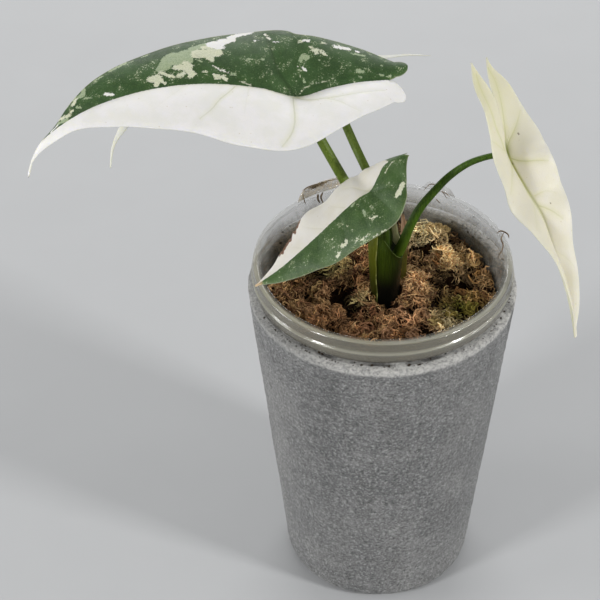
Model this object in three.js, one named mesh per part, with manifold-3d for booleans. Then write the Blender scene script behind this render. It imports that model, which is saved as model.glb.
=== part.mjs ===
// A potted variegated alocasia. A tapered concrete pot holds a clear inner cup packed with
// sphagnum moss, and a young plant stands in the moss: four arrow-shaped leaves on long stalks
// that sheathe one another at the base.
// Millimetres, +Z up. The origin is the centre of the concrete pot's flat underside. The side
// that the plant shows to a viewer is -Y.

import * as THREE from 'three';
import { mergeVertices } from 'three/addons/utils/BufferGeometryUtils.js';
import Module from 'manifold-3d';

const wasm = await Module();
wasm.setup();

// Clearance between pieces that rest on each other
const GAP = 0.3;
// Sides of every turned piece
const TURNED_SIDES = 60;

const POT = {
  height: 168,
  rimRadius: 62.4,
  footRadius: 46,
  footRound: 6,
  rimRound: 0.8,
  floor: 9,
  innerTaper: 0.09,
};

const CUP = {
  topHeight: 182,
  footHeight: 58,
  footRound: 2,
  wall: 0.9,
  mouthRadius: 55.9,
  taper: 0.1,
  lipThickness: 1.2,
};
// The flat lip with its hollow, down-turned skirt, from the skirt's inside round to the mouth:
// radius, and drop below the top
const CUP_SKIRT = [
  [58.9, 1.2], [59.7, 5.7], [58.7, 11], [59.8, 11], [60.4, 6.7], [60.8, 5.7],
  [59.8, 4.8], [60, 0.5], [59.5, 0], [56.2, 0], [55.9, 0.4],
];
// Two low tabs stand on the back of the lip. Angles are degrees from straight back, +X side positive.
const TABS = [
  { from: -41, to: -15, height: 6.5 },
  { from: 22, to: 38, height: 4.5 },
];
const TAB = { inner: 57.6, thickness: 1, cornerRun: 0.16, endHeight: 0.3, sunk: 0.5, steps: 10 };

const MOSS = {
  level: 163,
  rings: 11,
  sectors: 44,
  footShare: 0.95,
  footRise: 3,
  curls: 26,
  curlRadii: [0.8, 1, 1, 0.8],
  curlReach: 45,
  curlSize: [3.5, 6.5],
  curlBend: 0.75,
  curlLifts: [-2.5, 0.6, 1.9, 0.6, -2.5],
  creaseDepth: 1.5,
};
// Soft mounds and hollows in the moss: x, y, spread, height
const MOSS_LUMPS = [
  [20, 26, 13, 5], [0, -12, 16, 2.5], [-34, -22, 12, 2.5], [30, -26, 12, 2],
  [42, 12, 7, -4], [18, 8, 6, -2.5], [-14, -22, 6, -2],
];
// Creases between bundles of strands: waves along x and y in radians a millimetre, and a phase
const MOSS_CREASES = [
  [0.31, 0.12, 0], [-0.14, 0.3, 0.8], [0.22, -0.25, 2],
];

// The sheathing foot of the plant, with its half widths in x and y at each height
const BASE = {
  x: 1.6,
  y: -3.6,
  sides: 20,
  grooves: 4,
  grooveDepth: 0.05,
  sections: [
    [138, 5.5, 5.5], [142, 7.4, 7.2], [152, 7.6, 7.2], [164, 6.6, 6.4],
    [174, 6.9, 6.3], [186, 7.6, 6.6], [194, 7.9, 6.7], [198, 7.4, 6.2],
  ],
};

const STALK = { steps: 16, sides: 10 };
const CURL = { steps: 6, sides: 4 };
const BLADE = {
  thickness: 0.8,
  ribHeight: 1.1,
  ribHalfWidth: 1.7,
  pillow: 0.07,
  lobeBluntness: 1.6,
  steps: 34,
};
// Where the blade's grid runs across each half, from the rib's side to the margin
const BLADE_COLUMNS = [0.3, 0.54, 0.78, 1];
// Where it runs along each rear lobe, from the lobe's tip to the sinus
const LOBE_ROWS = [0, 0.35, 0.7, 1];
// Half width below which the margin's ripple fades out
const RIPPLE_FULL_AT = 12;

// Every leaf is described along its spine, which runs from between the tips of the two rear
// lobes, through the point where the stalk joins, to the drip tip. Positions along it are shares
// of its length. halfWidth and the folds are given at eleven equally spaced places. A fold is the
// angle in degrees that a half rises from the blade's plane towards its upper side; right and
// left are as seen from above, looking towards the tip. The two lobes part at the sinus and
// start at lobeStart.
const LEAVES = [
  {
    name: 'leaf_1',
    spine: [
      [11.8, 22, 266], [-11, 19, 266.5], [-24, 17, 265], [-38, 15, 262], [-55, 15, 267],
      [-80, 15, 269.5], [-105, 14, 267], [-131, 12, 258.5], [-151, 10, 244.5],
      [-157, 9.5, 235], [-160, 9, 224.5],
    ],
    up: [0, -0.24, 0.97],
    sinus: 0.052,
    lobeStart: { right: 0, left: 0.018 },
    halfWidth: [7.5, 20, 30.5, 36, 33, 27.5, 23, 16.5, 8.5, 3, 0],
    foldRight: [0, 3, 9, 1, -2, -2, -1, 4, -2, -45, -45],
    foldLeft: [-10, 8, 14, 5, -1, 0, 1, 9, 12, -10, 0],
    wave: { height: 0.5, cycles: 4, phase: 0.4 },
    stalk: {
      points: [
        [-2.2, -1, 186], [-3.6, 0, 197], [-9.5, 2.5, 209], [-17.2, 5.5, 222.3],
        [-28, 10.5, 242.2], [-34.5, 13.4, 254.5], [-38.6, 15.2, 264],
      ],
      radii: [2.1, 2.2, 2.1, 2, 1.9, 1.9, 1.9],
    },
    color: 0x3f6b45,
  },
  {
    name: 'leaf_2',
    spine: [
      [23.3, 53, 257.5], [11, 53, 258], [-12, 49, 256], [-26, 45, 253], [-37, 44, 256],
      [-54, 43, 258], [-71, 42, 257], [-87, 41, 253], [-102, 40, 245.5], [-112.5, 39, 238],
      [-119.5, 38.5, 229], [-124, 38, 220], [-126, 38, 208],
    ],
    up: [0, 0.19, 0.98],
    sinus: 0.17,
    lobeStart: { right: 0, left: 0.1 },
    halfWidth: [2.6, 8.5, 16, 22.5, 23, 20, 16, 11, 5, 1.3, 0],
    foldRight: [0, 0, 6, 4, 0, 0, 0, 0, 0, 0, 0],
    foldLeft: [-20, 0, 6, 4, 0, 0, 0, 5, 10, 0, 0],
    wave: { height: 0.6, cycles: 3, phase: 1.5 },
    stalk: {
      points: [
        [2.2, 0, 186], [2.4, 1.6, 196], [-0.3, 8, 206], [-7.1, 18, 219.4],
        [-11.6, 25, 226.5], [-17, 32.5, 236.5], [-26.3, 45.2, 254],
      ],
      radii: [1.8, 1.8, 1.75, 1.7, 1.65, 1.6, 1.6],
    },
    color: 0xe4e2cf,
  },
  {
    name: 'leaf_3',
    spine: [
      [9.6, -8.3, 247.8], [-0.5, -12, 243.8], [-3.2, -15, 240], [-6.6, -18, 234.7], [-12, -19.5, 231.6],
      [-17.2, -21, 227.3], [-32.2, -25, 213], [-47.4, -28, 199], [-53.8, -29.5, 194.7],
      [-58.3, -30.5, 192],
    ],
    up: [-0.5, -0.2, 0.85],
    sinus: 0.045,
    lobeStart: { right: 0, left: 0 },
    halfWidth: [2.5, 13.5, 20, 22, 20.5, 18.5, 16.5, 13, 9, 5, 0],
    foldRight: [-40, -38, -23, -17, -14, -12, 0, 3, 1, -12, -14],
    foldLeft: [-30, -14, -7, -12, -12, -14, -14, -12, -13, -10, -10],
    wave: { height: 0.3, cycles: 5, phase: 0 },
    stalk: {
      points: [
        [0.8, -6.4, 186], [1, -7, 197], [-0.2, -10.4, 211], [-3.2, -14.4, 224], [-6.9, -18.3, 237],
      ],
      radii: [1.9, 1.9, 1.8, 1.7, 1.6],
    },
    color: 0x47754a,
  },
  {
    name: 'leaf_4',
    spine: [
      [42.2, 24, 274.5], [44.2, 20.3, 269], [49.3, 13.6, 258.5], [52.2, 6.2, 247.6], [54.1, 0, 240],
      [61.5, -9, 229], [68.9, -16.7, 219.2], [73.7, -22.2, 207.8], [79.6, -29, 193.6],
      [83.1, -34, 181.4], [85.6, -38, 165.2],
    ],
    up: [0.45, -0.75, 0.5],
    sinus: 0.13,
    lobeStart: { right: 0, left: 0 },
    halfWidth: [8, 15, 18.5, 18, 17.5, 15.5, 12, 9, 6, 3.3, 0],
    foldRight: [28, 37, 40, 41, 37, 21, 34, 50, 55, 58, 58],
    foldLeft: [-38, -28, -18, 14, 31, 7, 22, 8, 20, 15, 15],
    wave: { height: 0.3, cycles: 4, phase: 2 },
    stalk: {
      points: [
        [6.2, -3.4, 186], [9, -4, 194.5], [12, -3.7, 204], [16.2, -3.2, 213.6], [22, -2.4, 221.8],
        [29.2, -1.2, 230], [38, -0.6, 236.6], [48.2, -0.2, 240], [56.5, -0.1, 240.3],
      ],
      radii: [2.2, 2.1, 2, 1.9, 1.8, 1.65, 1.5, 1.35, 1.3],
    },
    color: 0xdedcc0,
  },
];

// Papery scale leaves left at the foot of the stalks
const SCALE = { across: [0.9, -0.45, 0], gutter: 0.35, steps: 8 };
const SCALES = [
  {
    name: 'cataphyll_pale',
    spine: [[7.4, 2.6, 156], [7.3, 2.5, 172], [6.6, 3.1, 190], [5.4, 3.9, 206]],
    halfWidth: [2.6, 2.8, 2.2, 0.5],
    color: 0xb9b37e,
  },
  {
    name: 'cataphyll_dry',
    spine: [[9.9, 5, 157], [10.3, 5.4, 173], [10.1, 6.6, 190], [8.9, 8.6, 205]],
    halfWidth: [2.4, 2.6, 2, 0.6],
    color: 0xa98267,
  },
];

const COLORS = {
  concrete: 0x8f8f8e,
  cup: 0xa9aca4,
  moss: 0x7d6549,
  stemBase: 0x2f4a17,
  stalk: 0x4d6d27,
};

const radians = THREE.MathUtils.degToRad;

// Value at u of a list that is given at equal steps from 0 to 1, with a smooth curve through it
function along(list, u) {
  const place = u * (list.length - 1);
  const i = Math.min(Math.floor(place), list.length - 2);
  const t = place - i;
  const [from, to] = [list[i], list[i + 1]];
  const slopeIn = (to - list[Math.max(i - 1, 0)]) / 2;
  const slopeOut = (list[Math.min(i + 2, list.length - 1)] - from) / 2;
  return (
    (2 * from - 2 * to + slopeIn + slopeOut) * t ** 3 +
    (3 * to - 3 * from - 2 * slopeIn - slopeOut) * t ** 2 +
    slopeIn * t +
    from
  );
}

function curveThrough(points) {
  return new THREE.CatmullRomCurve3(points.map((p) => new THREE.Vector3(...p)));
}

function geometryFrom(positions, triangles) {
  const geometry = new THREE.BufferGeometry();
  geometry.setAttribute('position', new THREE.Float32BufferAttribute(positions, 3));
  geometry.setIndex(triangles);
  return geometry;
}

function toSolid(geometry) {
  const plain = geometry.clone();
  plain.deleteAttribute('normal');
  plain.deleteAttribute('uv');
  const merged = mergeVertices(plain, 1e-4);
  return new wasm.Manifold(
    new wasm.Mesh({
      numProp: 3,
      vertProperties: new Float32Array(merged.attributes.position.array),
      triVerts: new Uint32Array(merged.index.array),
    }),
  );
}

function toGeometry(solid) {
  const mesh = solid.getMesh();
  return geometryFrom(mesh.vertProperties, Array.from(mesh.triVerts));
}

function largestBody(solid) {
  return solid.decompose().sort((a, b) => b.volume() - a.volume())[0];
}

// Closed solid through a row of rings with equal numbers of points, capped at both ends
function loft(rings) {
  const sides = rings[0].length;
  const positions = rings.flat().flatMap((p) => [p.x, p.y, p.z]);
  const triangles = [];
  for (let i = 0; i + 1 < rings.length; i++) {
    for (let k = 0; k < sides; k++) {
      const a = i * sides + k;
      const b = i * sides + ((k + 1) % sides);
      triangles.push(a, b, b + sides, a, b + sides, a + sides);
    }
  }
  const capEnd = (ring, first, flip) => {
    const centre = ring.reduce((sum, p) => sum.add(p), new THREE.Vector3()).divideScalar(sides);
    const hub = positions.length / 3;
    positions.push(centre.x, centre.y, centre.z);
    for (let k = 0; k < sides; k++) {
      const a = first + k;
      const b = first + ((k + 1) % sides);
      triangles.push(...(flip ? [hub, b, a] : [hub, a, b]));
    }
  };
  capEnd(rings[0], 0, true);
  capEnd(rings[rings.length - 1], (rings.length - 1) * sides, false);
  return geometryFrom(positions, triangles);
}

// Round tube along a curve, with a radius that follows a list. Extra makes it that much wider,
// and longer at its foot.
function tubeGeometry(points, radii, extra, { steps, sides }) {
  const curve = curveThrough(points);
  const frames = curve.computeFrenetFrames(steps, false);
  const rings = [];
  for (let i = 0; i <= steps; i++) {
    const u = i / steps;
    const centre = curve.getPointAt(u);
    const radius = along(radii, u) + extra;
    const ring = [];
    for (let k = 0; k < sides; k++) {
      const angle = (2 * Math.PI * k) / sides;
      ring.push(
        centre
          .clone()
          .addScaledVector(frames.normals[i], Math.cos(angle) * radius)
          .addScaledVector(frames.binormals[i], Math.sin(angle) * radius),
      );
    }
    rings.push(ring);
  }
  const start = curve.getTangentAt(0);
  for (const p of rings[0]) p.addScaledVector(start, -extra);
  return loft(rings);
}

// The middle surface of a blade: vertices, their rib depth, and triangles
function bladeSurface(leaf) {
  const curve = curveThrough(leaf.spine);
  const up = new THREE.Vector3(...leaf.up).normalize();
  const vertices = [];
  const ribs = [];
  const index = new Map();
  const vertexAt = (point, rib) => {
    const key = [point.x, point.y, point.z].map((c) => c.toFixed(3)).join();
    if (!index.has(key)) {
      index.set(key, vertices.length);
      vertices.push(point);
      ribs.push(rib);
    }
    return index.get(key);
  };
  // One row of the grid on one side of the spine, from the spine or the sinus to the margin
  const row = (u, side) => {
    const centre = curve.getPointAt(u);
    const tangent = curve.getTangentAt(u);
    const right = tangent.clone().cross(up).normalize();
    const normal = right.clone().cross(tangent);
    const fold = radians(along(side > 0 ? leaf.foldRight : leaf.foldLeft, u));
    const outward = right.multiplyScalar(side);
    const out = outward.clone().multiplyScalar(Math.cos(fold)).addScaledVector(normal, Math.sin(fold));
    const face = normal.multiplyScalar(Math.cos(fold)).addScaledVector(outward, -Math.sin(fold));
    const width = Math.max(along(leaf.halfWidth, u), 0);
    const start = leaf.lobeStart[side > 0 ? 'right' : 'left'];
    const toLobeTip = Math.max((leaf.sinus - u) / (leaf.sinus - start), 0);
    const inner = along(leaf.halfWidth, start) * toLobeTip ** BLADE.lobeBluntness;
    const ribShare = Math.min(BLADE.ribHalfWidth / Math.max(width, 0.01), BLADE_COLUMNS[0] / 2);
    const ribDepth = BLADE.ribHeight * Math.sqrt(Math.sin(Math.PI * u));
    return [0, ribShare, ...BLADE_COLUMNS].map((share, column) => {
      const reach = inner + (Math.max(width, inner) - inner) * share;
      const wave = Math.sin(2 * Math.PI * leaf.wave.cycles * u + leaf.wave.phase + side);
      const ripple = leaf.wave.height * wave * share ** 2 * Math.min(width / RIPPLE_FULL_AT, 1);
      const lift = BLADE.pillow * width * 4 * share * (1 - share) + ripple;
      const point = centre.clone().addScaledVector(out, reach).addScaledVector(face, lift);
      return vertexAt(point, column === 0 && toLobeTip === 0 ? ribDepth : 0);
    });
  };
  const rest = Math.round(BLADE.steps * (1 - leaf.sinus));
  const pastSinus = [];
  for (let i = 1; i <= rest; i++) pastSinus.push(leaf.sinus + ((1 - leaf.sinus) * i) / rest);
  const triangles = [];
  const addTriangle = (a, b, c) => {
    if (a !== b && b !== c && a !== c) triangles.push(a, b, c);
  };
  for (const [side, start] of [[1, leaf.lobeStart.right], [-1, leaf.lobeStart.left]]) {
    const onLobe = LOBE_ROWS.map((share) => start + (leaf.sinus - start) * share);
    const rows = [...onLobe, ...pastSinus].map((u) => row(u, side));
    for (let i = 0; i + 1 < rows.length; i++) {
      for (let j = 0; j + 1 < rows[i].length; j++) {
        const [a, b, c, d] = [rows[i][j], rows[i][j + 1], rows[i + 1][j + 1], rows[i + 1][j]];
        if (side > 0) {
          addTriangle(a, b, c);
          addTriangle(a, c, d);
        } else {
          addTriangle(a, c, b);
          addTriangle(a, d, c);
        }
      }
    }
  }
  return { vertices, ribs, triangles };
}

// Thickens a surface into a closed solid, split into triangles alike on both faces
function thicken({ vertices, ribs, triangles }, thickness, extra = 0) {
  const normals = vertices.map(() => new THREE.Vector3());
  for (let t = 0; t < triangles.length; t += 3) {
    const [a, b, c] = triangles.slice(t, t + 3).map((i) => vertices[i]);
    const normal = b.clone().sub(a).cross(c.clone().sub(a));
    for (const i of triangles.slice(t, t + 3)) normals[i].add(normal);
  }
  normals.forEach((n) => n.normalize());
  const half = thickness / 2 + extra;
  const top = vertices.map((v, i) => v.clone().addScaledVector(normals[i], half));
  const bottom = vertices.map((v, i) => v.clone().addScaledVector(normals[i], -half - ribs[i]));
  const count = vertices.length;
  const faces = [...triangles];
  const edges = new Map();
  for (let t = 0; t < triangles.length; t += 3) {
    const [a, b, c] = triangles.slice(t, t + 3);
    faces.push(a + count, c + count, b + count);
    for (const [from, to] of [[a, b], [b, c], [c, a]]) edges.set(`${from},${to}`, [from, to]);
  }
  for (const [from, to] of edges.values()) {
    if (edges.has(`${to},${from}`)) continue;
    faces.push(from, from + count, to + count, from, to + count, to);
  }
  return geometryFrom([...top, ...bottom].flatMap((p) => [p.x, p.y, p.z]), faces);
}

function turned(profile) {
  return new THREE.LatheGeometry(profile.map(([r, z]) => new THREE.Vector2(r, z)), TURNED_SIDES)
    .rotateX(Math.PI / 2);
}

function cupWallRadius(z) {
  return CUP.mouthRadius + CUP.wall - (CUP.topHeight - z) * CUP.taper;
}

function potGeometry() {
  const seatRadius = cupWallRadius(POT.height) + GAP;
  const innerRadius = (z) => seatRadius - (POT.height - z) * POT.innerTaper;
  const foot = POT.footRound;
  const profile = [[0, 0], [POT.footRadius - foot, 0]];
  for (const angle of [22.5, 45, 67.5, 90]) {
    profile.push([
      POT.footRadius - foot + foot * Math.sin(radians(angle)),
      foot - foot * Math.cos(radians(angle)),
    ]);
  }
  profile.push(
    [POT.rimRadius, POT.height - POT.rimRound],
    [POT.rimRadius - POT.rimRound, POT.height],
    [seatRadius + POT.rimRound, POT.height],
    [seatRadius, POT.height - POT.rimRound],
    [innerRadius(POT.floor), POT.floor],
    [0, POT.floor],
  );
  return turned(profile);
}

function tabGeometry({ from, to, height }) {
  const outer = TAB.inner + TAB.thickness;
  const sunk = CUP.topHeight - TAB.sunk;
  const rings = [];
  for (let i = 0; i <= TAB.steps; i++) {
    const share = i / TAB.steps;
    const angle = radians(90 - from - (to - from) * share);
    const nearEnd = Math.min(share, 1 - share) / TAB.cornerRun;
    const rise = height * Math.sqrt(Math.min(nearEnd, 1));
    const top = CUP.topHeight + Math.max(rise, TAB.endHeight);
    const corner = (radius, z) => new THREE.Vector3(radius * Math.cos(angle), radius * Math.sin(angle), z);
    rings.push([corner(TAB.inner, sunk), corner(outer, sunk), corner(outer, top), corner(TAB.inner, top)]);
  }
  return loft(rings);
}

function cupGeometry() {
  const top = CUP.topHeight;
  const foot = CUP.footHeight;
  const cornerTop = foot + CUP.footRound;
  const outer = cupWallRadius(cornerTop);
  const underLip = top - CUP.lipThickness;
  const profile = [
    [0, foot],
    [outer - CUP.footRound, foot],
    [outer, cornerTop],
    [cupWallRadius(underLip), underLip],
    ...CUP_SKIRT.map(([radius, drop]) => [radius, top - drop]),
    [outer - CUP.wall, cornerTop],
    [outer - CUP.footRound, foot + CUP.wall],
    [0, foot + CUP.wall],
  ];
  let cup = toSolid(turned(profile));
  for (const tab of TABS) cup = cup.add(toSolid(tabGeometry(tab)));
  return toGeometry(cup);
}

function mossHeight(x, y) {
  let height = MOSS.level;
  for (const [cx, cy, spread, lump] of MOSS_LUMPS) {
    height += lump * Math.exp(-((x - cx) ** 2 + (y - cy) ** 2) / (2 * spread ** 2));
  }
  for (const [alongX, alongY, phase] of MOSS_CREASES) {
    height -= MOSS.creaseDepth * (Math.abs(Math.sin(x * alongX + y * alongY + phase)) - 2 / Math.PI);
  }
  return height;
}

function mossGeometry(stemBase, scales) {
  const random = seededRandom(7);
  const wallRadius = (z) => cupWallRadius(z) - CUP.wall - GAP;
  const footZ = CUP.footHeight + CUP.wall + GAP;
  const ringAt = (share, z) => {
    const ring = [];
    for (let k = 0; k < MOSS.sectors; k++) {
      const angle = (2 * Math.PI * k) / MOSS.sectors;
      const reach = share * wallRadius(MOSS.level);
      const level = z ?? mossHeight(reach * Math.cos(angle), reach * Math.sin(angle));
      const radius = wallRadius(level) * share;
      ring.push(new THREE.Vector3(radius * Math.cos(angle), radius * Math.sin(angle), level));
    }
    return ring;
  };
  const rings = [ringAt(MOSS.footShare, footZ), ringAt(1, footZ + MOSS.footRise)];
  for (let i = MOSS.rings; i >= 1; i--) rings.push(ringAt(i / MOSS.rings));
  let moss = toSolid(loft(rings));
  // Curled strands, rooted in the surface at both ends
  for (let i = 0; i < MOSS.curls; i++) {
    const angle = random() * 2 * Math.PI;
    const reach = MOSS.curlReach * Math.sqrt(random());
    const turn = random() * 2 * Math.PI;
    const size = THREE.MathUtils.lerp(...MOSS.curlSize, random());
    const points = MOSS.curlLifts.map((lift, step) => {
      const bend = turn + step * MOSS.curlBend;
      const x = reach * Math.cos(angle) + size * Math.cos(bend);
      const y = reach * Math.sin(angle) + size * Math.sin(bend);
      return [x, y, mossHeight(x, y) + lift];
    });
    moss = moss.add(toSolid(tubeGeometry(points, MOSS.curlRadii, 0, CURL)));
  }
  for (const hole of [stemBase, ...scales]) moss = moss.subtract(hole);
  return toGeometry(largestBody(moss));
}

// A corm in the moss, then the wrapped stalk bases, grooved where one overlaps the next
function baseGeometry(extra) {
  const rings = BASE.sections.map(([z, halfX, halfY]) => {
    const ring = [];
    for (let k = 0; k < BASE.sides; k++) {
      const angle = (2 * Math.PI * k) / BASE.sides;
      const groove = 1 - BASE.grooveDepth * Math.cos(BASE.grooves * angle + 1);
      ring.push(new THREE.Vector3(
        BASE.x + (halfX * groove + extra) * Math.cos(angle),
        BASE.y + (halfY * groove + extra) * Math.sin(angle),
        z,
      ));
    }
    return ring;
  });
  for (const p of rings[0]) p.z -= extra;
  return loft(rings);
}

// A thin strip, bent across into a shallow gutter
function scaleGeometry(scale, extra) {
  const curve = curveThrough(scale.spine);
  const across = new THREE.Vector3(...SCALE.across);
  const rings = [];
  for (let i = 0; i <= SCALE.steps; i++) {
    const u = i / SCALE.steps;
    const centre = curve.getPointAt(u);
    const half = along(scale.halfWidth, u) + extra;
    const thick = BLADE.thickness / 2 + extra;
    const corner = (side, depth) => {
      const gutter = SCALE.gutter * half * Math.abs(side);
      return centre.clone().addScaledVector(across, side * half).add(new THREE.Vector3(0, gutter + depth, 0));
    };
    rings.push([
      corner(-1, -thick), corner(0, -thick), corner(1, -thick),
      corner(1, thick), corner(0, thick), corner(-1, thick),
    ]);
  }
  for (const p of rings[0]) p.z -= extra;
  return loft(rings);
}

// Repeatable random numbers from 0 to 1
function seededRandom(seed) {
  let state = seed;
  return () => {
    state = (state * 16807) % 2147483647;
    return state / 2147483647;
  };
}

const plant = new THREE.Group();

function place(name, geometry, color, roughness, options = {}) {
  const material = new THREE.MeshStandardMaterial({ color, roughness, metalness: 0, ...options });
  const mesh = new THREE.Mesh(geometry, material);
  mesh.name = name;
  plant.add(mesh);
}

const stalkOf = (leaf, extra) => toSolid(tubeGeometry(leaf.stalk.points, leaf.stalk.radii, extra, STALK));

const surfaces = LEAVES.map(bladeSurface);
// Each stalk ends just under its own blade, which is thickened here by the clearance
const stalks = LEAVES.map((leaf, i) =>
  largestBody(stalkOf(leaf, 0).subtract(toSolid(thicken(surfaces[i], BLADE.thickness, GAP)))));

let base = toSolid(baseGeometry(0));
for (const leaf of LEAVES) base = base.subtract(stalkOf(leaf, GAP));

place('concrete_pot', potGeometry(), COLORS.concrete, 0.92);
place('clear_cup', cupGeometry(), COLORS.cup, 0.15, { transparent: true, opacity: 0.5 });
place(
  'sphagnum_moss',
  mossGeometry(toSolid(baseGeometry(GAP)), SCALES.map((scale) => toSolid(scaleGeometry(scale, GAP)))),
  COLORS.moss,
  0.95,
);
place('stem_base', toGeometry(largestBody(base)), COLORS.stemBase, 0.5);
LEAVES.forEach((leaf, i) => {
  place(`${leaf.name}_stalk`, toGeometry(stalks[i]), COLORS.stalk, 0.5);
  place(`${leaf.name}_blade`, thicken(surfaces[i], BLADE.thickness), leaf.color, 0.5);
});
for (const scale of SCALES) place(scale.name, scaleGeometry(scale, 0), scale.color, 0.8);

export default plant;
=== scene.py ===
"""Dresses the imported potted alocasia: finer leaves, moss, clear cup and concrete, and the studio.

Sizes are in millimetres in the part's own frame (+Z up, origin under the pot's centre) and are
turned into metres where a mesh is made. Colours are written as 0-255 screen values.
"""

import math
import random

import bpy
import numpy as np
from mathutils import Matrix, Vector, noise


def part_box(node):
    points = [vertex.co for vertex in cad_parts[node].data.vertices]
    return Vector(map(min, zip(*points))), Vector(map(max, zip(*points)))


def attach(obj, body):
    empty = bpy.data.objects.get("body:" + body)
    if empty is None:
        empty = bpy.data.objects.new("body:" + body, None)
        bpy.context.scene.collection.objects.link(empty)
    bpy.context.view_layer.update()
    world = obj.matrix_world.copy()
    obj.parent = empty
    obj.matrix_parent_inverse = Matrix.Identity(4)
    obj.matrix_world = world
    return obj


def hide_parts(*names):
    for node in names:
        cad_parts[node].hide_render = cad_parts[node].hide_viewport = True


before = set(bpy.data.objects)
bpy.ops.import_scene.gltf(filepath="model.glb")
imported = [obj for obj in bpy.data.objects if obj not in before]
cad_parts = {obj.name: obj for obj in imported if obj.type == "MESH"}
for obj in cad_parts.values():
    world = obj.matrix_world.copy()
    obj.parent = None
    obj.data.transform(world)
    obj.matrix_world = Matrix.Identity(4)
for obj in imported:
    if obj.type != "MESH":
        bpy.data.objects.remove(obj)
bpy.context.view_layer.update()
MM = 0.001

# The camera: what it aims at, how far it stands off and how it is turned
CAMERA = {"target": (-38.3, 0.0, 158.0), "distance": 937.0, "elevation": 40.0, "roll": -0.8}
LENS, SENSOR = 120.0, 36.0

# Driving sizes, as in the CAD model but for the pot's rim_round, which is 0.8 there
POT = {
    "height": 168.0, "rim": 62.4, "foot": 46.0, "foot_round": 6.0, "rim_round": 0.9,
    "floor": 9.0, "inner_taper": 0.09,
}
CUP = {
    "top": 182.0, "foot": 58.0, "foot_round": 2.0, "wall": 0.9, "mouth": 55.9, "taper": 0.1, "lip": 1.2,
}
# Radius and drop below the top, from the skirt's inside round its outside to the mouth
CUP_SKIRT = [
    (58.9, 1.2), (59.7, 5.7), (58.7, 11.0), (59.8, 11.0), (60.4, 6.7), (60.8, 5.7), (59.8, 4.8),
    (60.0, 0.5), (59.5, 0.0),
]
TABS = [(-41.0, -15.0, 6.5), (22.0, 38.0, 4.5)]
TAB_RADII = (57.6, 58.6)
CUP_GAP = 0.3  # mm, between the cup and what it touches
MOSS_LEVEL = 163.0
MOSS_LUMPS = [
    (20, 26, 13, 5), (0, -12, 16, 2.5), (-34, -22, 12, 2.5), (30, -26, 12, 2),
    (42, 12, 7, -4), (18, 8, 6, -2.5), (-14, -22, 6, -2),
]
MOSS_CREASES = [(0.31, 0.12, 0.0), (-0.14, 0.3, 0.8), (0.22, -0.25, 2.0)]
BASE_AXIS = (1.6, -3.6)
BASE_SECTIONS = [
    (138, 5.5, 5.5), (142, 7.4, 7.2), (152, 7.6, 7.2), (164, 6.6, 6.4),
    (174, 6.9, 6.3), (186, 7.6, 6.6), (194, 7.9, 6.7), (198, 7.4, 6.2),
]
BLADE = {"thickness": 0.8, "edge": 0.25, "rib": 1.1, "rib_half": 1.7, "pillow": 0.07, "bluntness": 1.6}

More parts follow.
